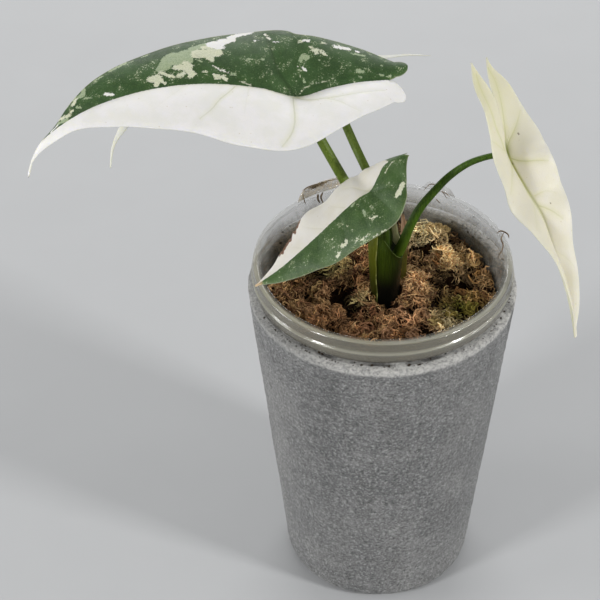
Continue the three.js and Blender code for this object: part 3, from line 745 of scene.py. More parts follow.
def blade_piece(name, slot, material):
    """A closed, tapering leaf blade with a ribbed underside, close to the CAD blade."""
    leaf = LEAVES[name]
    halves = [blade_half(leaf, half) for half in (0, 1)]
    columns = leaf["grid"][1]
    points = np.vstack([h["points"].reshape(-1, 3) for h in halves])
    carried = {key: np.vstack([h[key].reshape(-1, 3) for h in halves]) for key in CARRIED}
    ridge = np.concatenate([h["ridge"].ravel() for h in halves])
    _, keep, weld = np.unique(np.round(points, 4), axis=0, return_index=True, return_inverse=True)
    rows = [len(h["points"]) for h in halves]
    quads = np.vstack([
        grid_faces(rows[0], columns), grid_faces(rows[1], columns, first=rows[0] * columns)[:, ::-1],
    ])
    faces = []
    for quad in weld.ravel()[quads].tolist():
        distinct = [v for k, v in enumerate(quad) if v != quad[k - 1]]
        if len(set(distinct)) >= 3:
            faces.append(tuple(distinct))
    points, ridge = points[keep], ridge[keep]
    carried = {key: values[keep] for key, values in carried.items()}
    normals = face_normals(points, faces)
    across, edge = np.abs(carried["lamina"][:, 1]), carried["lamina"][:, 2]
    half_thick = np.interp(edge, (0, 3), (BLADE["edge"] / 2, BLADE["thickness"] / 2))
    depth = BLADE["rib"] * ridge * np.exp(-((across / (0.6 * BLADE["rib_half"])) ** 2))
    _, nearest, strength = carried["vein"].T
    depth = depth + 0.25 * strength * np.exp(-((nearest / 0.7) ** 2)) * np.clip(edge / 3, 0, 1)
    top = points + normals * half_thick[:, None]
    bottom = points - normals * (half_thick + depth)[:, None]
    attributes = {key: np.vstack([values, values]) for key, values in carried.items()}
    attributes["under"] = np.repeat((0.0, 1.0), len(points))
    make_piece(
        f"{name}_lamina", np.vstack([top, bottom]), shell_faces(faces, len(points)), slot, material,
        (f"{name}_blade",), attributes,
    )


def leaf_material(name, green, white, vein, glow, specks, soft=0.3, tip=None, rear=None, right=None):
    """Leaf skin: green and white tissue with torn borders, splashes, specks, veins, pores and painted
    crease shadow.

    Glow is the colour beside the veins, how much of it shows there, how plain the rib is and how
    plain the spot is where the stalk joins. Rear is the white of the part by the lobes; right is a
    darker white laid on the half right of the rib as painted shade.
    """
    s = Shader(name, roughness=0.5, specular_ior_level=0.35)
    _, across_mm, edge_mm = s.carried_three("lamina")
    signed, nearest, strength = s.carried_three("vein")
    place, rib, spot = s.carried_three("place")
    burnt, fine_field, stain = s.carried_three("burnt")
    glow, beside_veins, on_rib, on_spot = glow
    coarse = s.math("SUBTRACT", s.noise(0.8, 3, 0.6), 0.5)
    grit = s.math("SUBTRACT", s.noise(2.4, 3, 0.65), 0.5)
    across = s.math("ABSOLUTE", across_mm)
    ragged = s.math("MULTIPLY_ADD", coarse, 2.6, s.times(grit, 1.7))
    ragged = s.times(ragged, s.band(across, 0.0, 3.0, 0.3, 1.0))
    is_white, is_cream, is_pale = (
        s.band(s.math("ADD", field, ragged), -0.12, 0.16) for field in s.carried_three("tissue")
    )
    is_fine = s.band(s.math("MULTIPLY_ADD", ragged, 0.3, fine_field), -0.1, 0.14)

    fine = s.noise(1.8, 3, 0.65)
    leaf_green = s.ramp(s.noise(0.1, 4, 0.6), 0.35, 0.65, green[0], green[1])
    leaf_green = s.over(leaf_green, (s.band(fine, 0.42, 0.72, 0, 0.5), green[2]))
    if specks:
        warp = s.vector("SCALE", s.node("ShaderNodeTexNoise", [s.mm]).outputs[1], scale=0.9)
        warped = s.vector("ADD", s.mm, warp)
        often = s.band(s.noise(0.2, 4, 0.65), 0.4, 0.7)
        for scale, share, cover in ((0.55, 0.34, 0.7), (0.95, 0.46, 0.65), (1.7, 0.46, 0.5)):
            size = s.times(often, share * specks)
            dot = s.band(s.math("SUBTRACT", size, s.cells(scale, at=warped)), -0.05, 0.07)
            leaf_green = s.over(leaf_green, (s.times(dot, cover), (196, 202, 170)))
    pale = s.ramp(fine, 0.35, 0.65, (140, 156, 122), (166, 178, 146))
    cream = s.ramp(fine, 0.35, 0.65, (192, 196, 168), (214, 214, 192))
    leaf_white = s.ramp(s.noise(0.1, 3), 0.35, 0.65, white[0], white[1])
    # Painted shade: a darker white on the half right of the rib.
    if right:
        leaf_white = s.over(leaf_white, (s.band(across_mm, -0.5, 2.0), right))
    if rear:
        leaf_white = s.over(leaf_white, (s.band(place, 0.4, 0.05), rear))
    leaf_white = s.over(
        leaf_white,
        (s.band(fine, 0.45, 0.8, 0, 0.2), white[2]),
        (s.band(s.cells(0.24), 0.09, 0.04, 0, 0.45), (186, 168, 138)),
    )

    wobble = s.times(coarse, 0.5)
    line = s.band(s.math("ABSOLUTE", s.math("ADD", signed, wobble)), 0.5, 0.08)
    line = s.times(s.times(line, s.band(nearest, 2.2, 1.2)), strength)
    halo = s.most(
        s.times(s.band(nearest, 2.6, 0.0), s.times(strength, beside_veins)),
        s.times(s.band(across, 2.4, 0.0), s.times(rib, beside_veins)),
    )
    rib_line = s.times(s.band(across, 1.7, 0.7), s.times(rib, on_rib))
    # Painted shadow: a dark line along the strongest veins, where their creases fall in shade; on green it
    # joins the veins' own darker lines.
    crease_shadow = s.times(s.band(nearest, 1.5, 0.2), s.times(strength, strength))
    green_vein_and_crease_shadow = s.times(s.most(line, crease_shadow), s.math("SUBTRACT", 1, is_white))
    margin = s.times(s.band(edge_mm, 0.5, 0.1), s.math("MULTIPLY_ADD", is_white, 0.3, 0.25))
    color = s.over(
        leaf_green,
        (s.times(is_fine, 0.85), cream),
        (is_pale, pale),
        (is_cream, cream),
        (is_white, leaf_white),
        (s.times(halo, is_white), glow),
        (s.times(s.most(s.times(line, 0.55), rib_line), is_white), vein),
        (s.times(green_vein_and_crease_shadow, 0.6), (36, 58, 22)),
        (s.times(s.times(spot, on_spot), is_white), (118, 128, 52)),
        (margin, white[2]),
    )
    if tip:
        brown = s.band(s.math("ADD", place, s.times(coarse, 0.05)), 0.95, 0.985)
        burnt = s.band(s.math("MULTIPLY_ADD", ragged, 0.5, burnt), 0.35, 0.7)
        scorched = s.ramp(fine, 0.4, 0.6, (122, 84, 58), (74, 48, 32))
        color = s.over(color, (brown, tip), (burnt, scorched))
    color = s.over(
        color,
        (s.band(stain, -0.1, 0.2, 0, 0.8), (122, 112, 84)),
        (s.times(s.carried("under"), 0.25), (190, 202, 168)),
    )
    s.set("Base Color", color)

    net = s.cells(0.8, "DISTANCE_TO_EDGE")
    height = s.math("MULTIPLY_ADD", s.band(net, 0, 0.12), 0.2, s.times(s.noise(4.5, 2), 0.25))
    s.set("Normal", s.bump(s.math("SUBTRACT", height, s.times(line, 0.6)), 0.1))
    s.set("Roughness", s.band(s.noise(0.5, 3), 0.3, 0.7, 0.42, 0.56))
    s.set("Subsurface Weight", soft)
    s.set("Subsurface Radius", (2.4 * MM, 2.2 * MM, 1.2 * MM))
    s.set("Subsurface Scale", 1.0)
    return s.material


GREENS = ((42, 69, 31), (56, 86, 42), (80, 105, 61))
YOUNG_GREENS = ((46, 73, 30), (64, 93, 42), (98, 118, 74))
blade_piece("leaf_1", "blade_half_white", leaf_material(
    "leaf_half_white", GREENS, ((235, 232, 230), (229, 227, 222), (213, 212, 199)),
    (182, 182, 150), ((204, 206, 160), 0.35, 0.4, 0.6), specks=0.8,
))
blade_piece("leaf_2", "blade_white", leaf_material(
    "leaf_white", GREENS, ((229, 228, 219), (225, 224, 211), (212, 212, 194)),
    (180, 182, 140), ((202, 204, 160), 0.4, 0.4, 0.5), specks=0,
))
blade_piece("leaf_3", "blade_half_white", leaf_material(
    "leaf_half_white_young", YOUNG_GREENS, ((220, 216, 209), (215, 210, 200), (202, 198, 180)),
    (194, 188, 162), ((194, 192, 158), 0.3, 0.15, 0.3), specks=0.72, tip=(200, 172, 138),
))
blade_piece("leaf_4", "blade_cream", leaf_material(
    "leaf_cream", GREENS, ((221, 216, 204), (218, 213, 197), (208, 204, 181)),
    (172, 174, 104), ((198, 199, 140), 0.5, 0.9, 0.6), specks=0,
    # Right is painted shade on the half right of the rib.
    rear=(206, 202, 176), right=(210, 205, 188), soft=0.5,
))


# ---- Stalks, stem base and scale leaves


def plant_skin(name, dark, light, deep, base_z, top_z):
    """Green stalk skin, streaked lengthwise, with painted shade darker towards the foot."""
    s = Shader(name, roughness=0.45, specular_ior_level=0.25)
    streak = s.noise(1.6, 3, 0.6, stretch=(1, 1, 0.12))
    speck = s.noise(3.0, 2, 0.7)
    s.set("Base Color", s.over(
        s.ramp(streak, 0.3, 0.7, dark, light),
        (s.band(speck, 0.5, 0.8, 0, 0.35), (150, 160, 90)),
        # Painted shade, darker towards the foot.
        (s.band(s.xyz()["Z"], top_z, base_z, 0, 0.85), deep),
    ))
    s.set("Normal", s.bump(s.math("ADD", streak, s.times(speck, 0.4)), 0.12))
    return s.material


def stalk_piece(name, material):
    """A round stalk that ends inside the rib of its blade."""
    root = np.array((*BASE_AXIS, STALKS[name][0][2]))
    foot = root + 0.55 * (STALKS[name][0] - root) - (0, 0, 12)
    line, _, length = curve_through([foot, *STALKS[name]], 100)
    _, high = (np.array(corner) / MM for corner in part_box(f"{name}_stalk"))
    axis = 0 if name == "leaf_4" else 2
    cut = np.argmax(line[:, axis] > high[axis] - 0.6) or len(line)
    u = np.linspace(0, 1, len(line))[:cut]
    left = (1 - u / u[-1]) * length
    radius = along((STALK_RADII[name][0], *STALK_RADII[name]), u) * (1 + 0.22 * np.exp(-left / 2.5))
    vertices, faces = tube(line[:cut], radius, 28)
    make_piece(f"{name}_petiole", vertices, faces, "stalk", material, (f"{name}_stalk",))


stalk_light = plant_skin("stalk_olive", (68, 88, 18), (96, 114, 38), (54, 74, 16), 192, 222)
# Painted shade: a darker copy of the stalk skin, for the stalk that stands in shade.
stalk_dark = plant_skin("stalk_deep", (34, 54, 6), (54, 76, 16), (16, 28, 4), 188, 206)
stalk_arch = plant_skin("stalk_arched", (40, 70, 2), (72, 104, 14), (66, 86, 16), 190, 212)
for leaf_name, skin in zip(STALKS, (stalk_light, stalk_light, stalk_dark, stalk_arch)):
    stalk_piece(leaf_name, skin)


def base_ring(z, turn, proud):
    """Points on the wrapped stem base at a height and angle, stood off by an amount."""
    heights, half_x, half_y = np.array(BASE_SECTIONS, float).T
    shape = 1 - 0.05 * np.cos(4 * turn + 1)
    above = 1 - 0.03 * np.maximum(z - heights[-1], 0)
    x = BASE_AXIS[0] + (np.interp(z, heights, half_x) * shape * above + proud) * np.cos(turn)
    y = BASE_AXIS[1] + (np.interp(z, heights, half_y) * shape * above + proud) * np.sin(turn)
    return np.stack([x, y, np.broadcast_to(z, np.shape(x))], -1)


def base_core(material):
    """The solid middle of the stem base, its top sloping down to the front right."""
    steps, sides = 60, 96
    turn = np.linspace(0, 2 * math.pi, sides, endpoint=False)
    top = 192.5 + 4.5 * np.cos(turn - math.radians(150))
    foot = BASE_SECTIONS[0][0]
    z = foot + (top - foot) * np.linspace(0, 1, steps)[:, None]
    rings = [base_ring(z, np.broadcast_to(turn, z.shape), -0.9)]
    rim = rings[0][-1]
    centre = rim.mean(0)
    for shrink, drop in ((0.93, 0.1), (0.8, 0.9), (0.5, 2.4), (0.12, 3.0)):
        rings.append((centre + (rim - centre) * shrink - (0, 0, drop))[None])
    points = np.vstack(rings)
    make_piece(
        "stem_core", points.reshape(-1, 3), ring_faces(len(points), sides), "stem", material,
        ("stem_base",), {"lip": np.zeros((len(points) * sides, 3))},
    )


def sheath(name, span, low, top, proud, material, wavy=3.0):
    """A leaf sheath wrapped part of the way round the base, thin at its free edges."""
    steps, columns = 56, 40
    begin, end = span
    angle, base_radius = math.radians(end - begin), 7
    share, rise = np.meshgrid(np.linspace(0, 1, columns), np.linspace(0, 1, steps))
    drift = wavy * np.sin(rise * 9 + begin) + 0.6 * wavy * np.sin(rise * 23 + 2)
    turn = np.radians(begin + (end - begin) * share + drift * share**3)
    reach = np.interp(np.degrees(turn), *np.array(top, float).T)
    z = low + (reach - low) * rise
    to_side = np.minimum(share, 1 - share) * angle * base_radius
    to_top = (1 - rise) * (reach - low)
    stand = proud - 0.3 * np.clip(1 - to_side / 1.5, 0, 1)
    flare = 0.5 * np.clip(1 - to_top / 4, 0, 1) ** 2
    thick = np.interp(np.minimum(to_side, to_top), (0, 1.2), (0.22, 0.6))
    outer = base_ring(z, turn, stand + flare + 0.25)
    inner = base_ring(z, turn, stand + flare + 0.25 - thick)
    faces = [tuple(f[::-1]) for f in grid_faces(steps, columns)]
    free = np.minimum((1 - share) * angle * base_radius, to_top)
    lip = np.stack([np.clip(1 - free / 0.7, 0, 1), rise, share], -1).reshape(-1, 3)
    points = np.vstack([outer.reshape(-1, 3), inner.reshape(-1, 3)])
    make_piece(
        name, points, shell_faces(faces, steps * columns), "stem", material, (),
        {"lip": np.vstack([lip, lip])},
    )


def sheath_skin(name, dark, light, deep, edge):
    """Glossy sheath skin, streaked lengthwise, pale along its free edge, with painted shade nearly black at
    the foot.
    """
    s = Shader(name, roughness=0.4, specular_ior_level=0.25)
    x_mm, _, z_mm = s.xyz()
    streak = s.noise(1.3, 4, 0.6, stretch=(1, 1, 0.08))
    speck = s.noise(2.6, 2, 0.7)
    torn = s.math("MULTIPLY_ADD", s.math("SUBTRACT", speck, 0.5), 1.2, s.carried_three("lip")[0])
    bits = s.band(s.noise(0.3, 2, 0.5, stretch=(0.1, 0.1, 1)), 0.5, 0.62, 0.2, 0.8)
    s.set("Base Color", s.over(
        s.ramp(streak, 0.3, 0.7, dark, light),
        (s.band(speck, 0.52, 0.8, 0, 0.3), (128, 140, 64)),
        # Painted shade: darker to the right and nearly black at the foot.
        (s.band(x_mm, -1.0, 7.0, 0, 0.75), deep),
        (s.band(z_mm, 192, 171, 0, 1.0), deep),
        (s.times(s.band(torn, 0.35, 0.75), bits), edge),
    ))
    s.set("Normal", s.bump(s.math("MULTIPLY_ADD", speck, 0.3, streak), 0.2))
    return s.material


sheath_dark = sheath_skin("sheath_dark", (46, 64, 4), (64, 84, 12), (3, 4, 1), (92, 108, 44))
sheath_olive = sheath_skin("sheath_olive", (90, 98, 14), (116, 122, 34), (40, 44, 3), (150, 152, 90))
base_core(sheath_dark)
# Each sheath's span in degrees, the height of its foot and, by angle, the height of its top
sheath(
    "sheath_front", (220, 352), 157,
    [
        (220, 203), (250, 201.5), (262, 199.5), (272, 197.5), (285, 194.5), (300, 191.5), (322, 189),
        (354, 187.5),
    ],
    -0.35, sheath_dark,
)
sheath(
    "sheath_left", (126, 233), 158, [(120, 198), (180, 199), (215, 203), (245, 204)],
    0.5, sheath_olive, wavy=1.5,
)
sheath(
    "sheath_back", (-12, 134), 157, [(-15, 188), (20, 192), (50, 197), (90, 199.5), (135, 200)],
    -0.4, sheath_dark,
)


def scale_piece(name, slot, pale, dark, foot, tip):
    """A thin papery strip, bent across into a gutter, with a ragged tip and a dark foot."""
    spine, widths = SCALES[name]
    steps, columns = 60, 11
    line, _, _ = curve_through(spine, steps)
    u = np.linspace(0, 1, steps)[:, None]
    across = np.linspace(-1, 1, columns)
    half = along(widths, u[:, 0])[:, None] * np.interp(u, (0, 0.5, 0.68), (0.45, 0.55, 1))
    half = half * (1 + 0.3 * bumps(line, 0.35, 5.0)[:, None])
    x = line[:, :1] + 0.9 * across * half
    y = line[:, 1:2] - 0.45 * across * half + 0.35 * half * np.abs(across) ** 1.5
    z = np.broadcast_to(line[:, 2:], x.shape) + 2.5 * u**3 * bumps(np.stack([x, y, x * 0], -1), 0.8, 2.0)
    front = np.stack([x, y, z], -1).reshape(-1, 3)
    faces = [tuple(f) for f in grid_faces(steps, columns)]
    s = Shader(f"papery_{name}", roughness=0.75)
    height = s.xyz()["Z"]
    streak = s.noise(1.4, 4, 0.65, stretch=(1, 1, 0.15))
    s.set("Base Color", s.over(
        s.ramp(streak, 0.3, 0.7, dark, pale),
        (s.band(height, 189, 179), foot),
        (s.band(s.math("MULTIPLY_ADD", streak, 5, height), 202.5, 205.5), tip),
    ))
    s.set("Normal", s.bump(streak, 0.25))
    make_piece(
        f"{name}_strip", np.vstack([front, front + (0.1, 0.25, 0)]), shell_faces(faces, len(front)),
        slot, s.material, (name,),
    )


scale_piece(
    "cataphyll_pale", "papery_pale", (238, 230, 184), (200, 194, 134), (112, 108, 44), (196, 190, 140)
)
scale_piece("cataphyll_dry", "papery_dry", (226, 184, 154), (176, 130, 100), (104, 98, 24), (58, 60, 32))


# ---- Concrete pot


def turned(profile, sides):
    """Grid of points of a turned shape, one row for each profile point."""
    turn = np.linspace(0, 2 * math.pi, sides, endpoint=False)
    r, z = np.array(profile, float).T[:, :, None]
    return np.stack([r * np.cos(turn), r * np.sin(turn), np.broadcast_to(z, (len(r), sides))], -1)


def cup_wall(z):
    """The radius of the cup's outside at a height."""
    return CUP["mouth"] + CUP["wall"] - (CUP["top"] - z) * CUP["taper"]


def pot_piece():
    """Cast concrete: a rough outside with pits and a worn, uneven rim."""
    sides, pit_count = 360, 90
    skin_rows, rim_rows = slice(2, 128), slice(124, 138)
    seat = cup_wall(POT["height"]) + CUP_GAP
    foot, foot_round, rim = POT["foot"], POT["foot_round"], POT["rim"]
    edge, top = POT["rim_round"], POT["height"]
    profile = [(0.5, 0.0), (foot - foot_round, 0.0)]
    for a in np.radians(np.linspace(10, 90, 9)):
        r, z = foot_round * math.sin(a), foot_round * math.cos(a)
        profile.append((foot - foot_round + r, foot_round - z))
    for share in np.linspace(0, 1, 116)[1:]:
        profile.append((foot + (rim - foot) * share, foot_round + (top - edge - foot_round) * share))
    for a in np.radians((30, 60, 90)):
        profile.append((rim - edge + edge * math.cos(a), top - edge + edge * math.sin(a)))
    for share in (0.25, 0.5, 0.75):
        profile.append((rim - edge + (seat + edge - rim + edge) * share, top))
    for a in np.radians((90, 60, 30, 0)):
        profile.append((seat + edge - edge * math.cos(a), top - edge + edge * math.sin(a)))
    for z in (150, 120, 80, 40, POT["floor"]):
        profile.append((seat - (top - z) * POT["inner_taper"], z))
    profile.append((0.5, POT["floor"]))
    points = turned(profile, sides)

    skin = points[skin_rows]
    out = unit(skin * (1, 1, 0))
    rough = 0.28 * bumps(skin, 0.035) + 0.16 * bumps(skin, 0.16, 4.0) + 0.34 * bumps(skin, 0.6, 8.0)
    drift = 0.08 * bumps(skin * (1, 1, 0.12), 0.3, 12.0)
    pits = np.zeros(skin.shape[:2])
    draw = random.Random(5)
    for _ in range(pit_count):
        angle, z = draw.uniform(0, 2 * math.pi), draw.uniform(8, 165)
        radius, depth = draw.uniform(0.7, 1.6), draw.uniform(0.2, 0.6)
        r = np.interp(z, (0, top), (foot, rim))
        centre = np.array((r * math.cos(angle), r * math.sin(angle), z))
        pits += depth * np.exp(-((np.linalg.norm(skin - centre, axis=-1) / radius) ** 2))
    near_rim = np.clip((skin[..., 2] - 158) / 10, 0, 1)
    chips = near_rim * np.clip(bumps(skin, 0.22, 21.0) - 0.15, 0, 1) * 1.3
    points[skin_rows] = skin + out * (rough + drift - pits - chips)[..., None]
    lip = points[rim_rows]
    lip[..., 2] += 0.22 * bumps(lip, 0.12, 2.0) + 0.12 * bumps(lip, 0.6, 6.0)
    worn = np.zeros(points.shape[:2])
    worn[rim_rows] = 1
    worn = np.maximum(worn, np.clip((points[..., 2] - 164) / 4, 0, 1)) * (points[..., 2] > 160)
    make_piece(
        "concrete_shell", points.reshape(-1, 3), ring_faces(len(profile), sides), "concrete",
        concrete_material(), ("concrete_pot",), {"worn": worn.ravel()},
    )


def concrete_material():
    """Sandy cast concrete with drips down the side, a pale worn rim and painted shade in the gap under the
    cup's collar.
    """
    s = Shader("concrete", roughness=0.9, specular_ior_level=0.25, sheen_weight=0.35, sheen_roughness=0.45)
    streak = s.noise(0.16, 4, 0.65, stretch=(1, 1, 0.1))
    smear = s.noise(0.11, 4, 0.6, stretch=(0.25, 0.25, 1.6))
    sand = s.noise(0.8, 4, 0.8)
    grit = s.noise(0.34, 3, 0.75)
    x_mm, _, z_mm = s.xyz()
    worn = s.times(s.carried("worn"), s.band(s.noise(0.6, 4, 0.8), 0.36, 0.6, 0.25, 0.95))
    # Painted shade: a dark ring along the rim's inner edge, in the gap under the cup's collar.
    gap_shade = s.times(s.band(s.radius(), 59.2, 58.2), s.band(s.noise(0.07, 3, 0.6), 0.35, 0.6, 0.2, 0.95))
    s.set("Base Color", s.over(
        s.ramp(s.noise(0.03, 4, 0.6), 0.35, 0.65, (98, 99, 99), (121, 121, 120)),
        (s.band(streak, 0.46, 0.68, 0, 0.55), (86, 86, 85)),
        (s.band(smear, 0.52, 0.7, 0, 0.4), (138, 138, 136)),
        (s.band(sand, 0.53, 0.62, 0, 0.9), (168, 168, 166)),
        (s.band(sand, 0.47, 0.38, 0, 0.9), (56, 56, 56)),
        (s.band(grit, 0.57, 0.68, 0, 0.55), (158, 158, 156)),
        (s.band(grit, 0.4, 0.3, 0, 0.65), (62, 61, 59)),
        (s.times(worn, s.band(x_mm, -50, -15, 0.45, 1.0)), (206, 204, 199)),
        (s.times(gap_shade, s.band(z_mm, 165.5, 167)), (46, 43, 38)),
    ))
    height = s.math("ADD", sand, s.times(grit, 0.8))
    s.set("Normal", s.bump(s.math("MULTIPLY_ADD", smear, 0.4, height), 1.0))
    return s.material


pot_piece()


# ---- Clear cup


def rounded(profile, times=2):
    """A profile with its corners cut again and again, its ends kept."""
    p = np.array(profile, float)
    for _ in range(times):
        near = 0.8 * p[:-1] + 0.2 * p[1:]
        far = 0.2 * p[:-1] + 0.8 * p[1:]
        p = np.vstack([p[:1], np.stack([near, far], 1).reshape(-1, 2)[1:-1], p[-1:]])
    return p


def cup_piece():
    """The thin cup with its folded collar and the two tabs that stand up from its lip."""
    sides = 260
    top, foot, wall, foot_round = CUP["top"], CUP["foot"], CUP["wall"], CUP["foot_round"]
    corner = foot + foot_round
    outer = cup_wall(corner)
    under = top - CUP["lip"]
    outside = rounded([
        (0.5, foot), (outer - foot_round, foot), (outer, corner), (cup_wall(120), 120),
        (cup_wall(under), under), *((r, top - drop) for r, drop in CUP_SKIRT), (59.2, top),
    ])
    inside = rounded([
        (57.2, top), (56.2, top), (CUP["mouth"], top - 0.4), (CUP["mouth"] - 3, top - 30),
        (outer - wall, corner), (outer - foot_round, foot + wall), (0.5, foot + wall),
    ])
    near, far = TAB_RADII
    tab = [(r, top) for r in (far + 0.06, far, far - 0.15, near + 0.15, near, near - 0.06)]
    profile = np.vstack([outside, tab, inside])
    points = turned(profile, sides)
    turn = np.degrees(np.linspace(0, 2 * math.pi, sides, endpoint=False))
    from_back = (90 - turn + 180) % 360 - 180
    rise = np.zeros(sides)
    for start, end, height in TABS:
        share = (from_back - start) / (end - start)
        near_end = np.clip(np.minimum(share, 1 - share) / 0.16, 0, 1)
        rise = np.maximum(rise, height * np.sqrt(near_end))
    tab_top = slice(len(outside) + 1, len(outside) + 5)
    points[tab_top, :, 2] += rise * np.array((0.94, 1.0, 1.0, 0.94))[:, None]
    wobble = 0.12 * bumps(points, 0.05, 9.0)
    points[:, :, :2] *= 1 + (wobble / 60)[..., None]
    make_piece(
        "clear_cup_shell", points.reshape(-1, 3), ring_faces(len(profile), sides), "clear_plastic",
        cup_material(), ("clear_cup",),
    )


def cup_material():
    """Clear plastic: clean above, filmed with soil low down, ringed round the collar with painted
    highlights and shade.
    """
    s = Shader(
        "clear_plastic", roughness=0.12, ior=1.55, specular_ior_level=0.7,
        coat_weight=1.0, coat_roughness=0.08, coat_ior=1.7,
    )
    x, y, z = s.xyz()
    radius = s.radius()
    rings = s.noise(1.2, 4, 0.7, stretch=(0.04, 0.04, 3.2))
    haze = s.noise(0.08, 4, 0.65)
    run = s.noise(0.5, 4, 0.65, stretch=(1, 1, 0.16))
    speck = s.band(s.noise(0.7, 3, 0.75), 0.66, 0.7)
    front = s.band(y, 30, -20)
    collar = s.times(s.band(radius, 56.4, 58.4), s.band(z, 169, 170.5))
    # Painted highlight: the top of the collar made lighter.
    flange_highlight = s.times(s.band(z, 181.2, 181.8), s.band(radius, 60.2, 59.4))
    # Painted highlight: a lighter band along the collar's lower ridge.
    ridge = s.times(s.band(z, 175.0, 176.4), s.band(z, 177.8, 176.4))
    soil = s.times(s.band(s.noise(0.1, 5, 0.7), 0.42, 0.68), s.band(z, 178, 166, 0.0, 1.0))
    film = s.times(s.band(y, -5, 25), s.band(z, 180, 167, 0.08, 0.6))
    film = s.times(film, s.band(s.math("ADD", run, haze), 0.75, 1.2, 0.35, 1.0))
    left_tab = s.times(s.band(z, 181.5, 183.5), s.band(x, 5, -5))
    smudge = s.times(left_tab, s.band(s.noise(0.35, 4, 0.7), 0.35, 0.6, 0.25, 0.7))
    # The collar: fine rings, a painted highlight on its lower ridge, painted shade at its foot and a
    # painted highlight on its top.
    streaked = s.over(
        s.ramp(rings, 0.38, 0.62, (84, 80, 68), (124, 118, 98)),
        (ridge, (160, 158, 142)),
        # Painted shade: the collar darker at its foot, above the gap at the rim.
        (s.band(z, 173.5, 171.5, 0, 0.7), (58, 56, 48)),
        (flange_highlight, s.mix(haze, (152, 150, 133), (176, 174, 159))),
    )
    s.set("Base Color", s.over(
        s.ramp(rings, 0.35, 0.65, (136, 134, 122), (186, 185, 175)),
        # Painted light and shade: the collar's bands show most at the front, where shade lies behind the
        # plastic.
        (s.times(collar, s.band(front, 0, 1, 0.25, 1.0)), streaked),
        (s.times(soil, 0.85), (84, 72, 52)),
        (s.times(film, s.band(run, 0.4, 0.6, 1.0, 0.3)), (96, 88, 68)),
        (smudge, (208, 184, 142)),
        (speck, (50, 42, 30)),
    ))
    facing = s.node("ShaderNodeLayerWeight", [0.5]).outputs["Facing"]
    cover = s.math("ADD", s.band(facing, 0.35, 1.0, 0.06, 0.45), s.band(haze, 0.45, 0.75, 0.0, 0.08))
    cover = s.most(
        s.math("ADD", cover, s.band(rings, 0.5, 0.75, 0.0, 0.06)),
        film, s.times(smudge, 0.8), s.times(collar, s.band(front, 0, 1, 0.12, 0.72)),
        s.times(speck, 0.8), s.times(soil, 0.6),
    )
    s.set("Alpha", s.math("MINIMUM", cover, 1.0))
    s.set("Roughness", s.band(haze, 0.3, 0.7, 0.04, 0.12))
    s.set("Normal", s.bump(s.math("MULTIPLY_ADD", rings, 0.8, haze), 0.16))
    return s.material


cup_piece()


# ---- Moss

# Where the moss is hollow, its strands painted darker as shade: x, y, radius, depth
HOLLOWS = [
    (41, 5.5, 6, 9), (-20, -10, 4.5, 4.2), (21, 47, 4, 2.5), (21, 25, 4, 5), (-18, -2, 5, 6),
    (-24, 11, 5, 4), (34, 27, 3.5, 3.5), (-17, -16, 5, 4.5), (3, -13, 4, 2.5), (14, -17, 3, 4),
    (-36, -9, 4.5, 3.5), (-9, -26, 4, 3), (27, -7, 3, 3.5), (-40, -24, 3, 3), (30, 10, 3, 3.5),
    (-28, -34, 3.5, 3.5), (22, -36, 3, 3), (48, -14, 3, 2.5), (-44, 4, 4, 3), (4, -44, 3, 3),
]
# Mounds that stand above the rest: x, y, radius, height
MOUNDS = [
    (22, 38, 9, 3.3), (-22, 15, 6, 2.2), (36, 19, 6, 2), (14.5, 4, 4.5, 6), (11.5, -4, 3, 4),
    (49, 7, 4, 2.5), (16, -26, 6, 1.5), (-12, -38, 7, 1.5),
]
# Colour zones of the strands: x, y, radius, colour. The dark ones over hollows are painted shade
MOSS_ZONES = [
    (22, 34.5, 9, (255, 240, 186)), (41, 5.5, 6, (52, 34, 20)), (-20, -10, 5, (30, 20, 12)),
    (34, -16, 10, (160, 156, 62)), (30, -28, 8, (232, 214, 162)), (-13, -11, 4.5, (176, 170, 112)),
    (8, -33, 12, (226, 174, 122)), (-24, -32, 13, (194, 146, 100)), (-36, -8, 11, (176, 134, 94)),
    (34, 20, 9, (255, 224, 164)), (50, 9, 5, (240, 196, 136)), (17, 5, 8, (255, 214, 160)),
    (-23, 17, 7, (206, 192, 128)), (14, -20, 7, (216, 168, 126)), (-28, 4, 9, (116, 82, 54)),
    (-17, -16, 6, (96, 66, 42)), (-36, 18, 8, (150, 138, 84)),
]
MOSS_TONES = [
    (196, 156, 106), (160, 118, 78), (216, 180, 128), (132, 88, 60), (176, 140, 84), (104, 66, 44),
]
MOSS_TINT = (1.0, 1.05, 1.18)
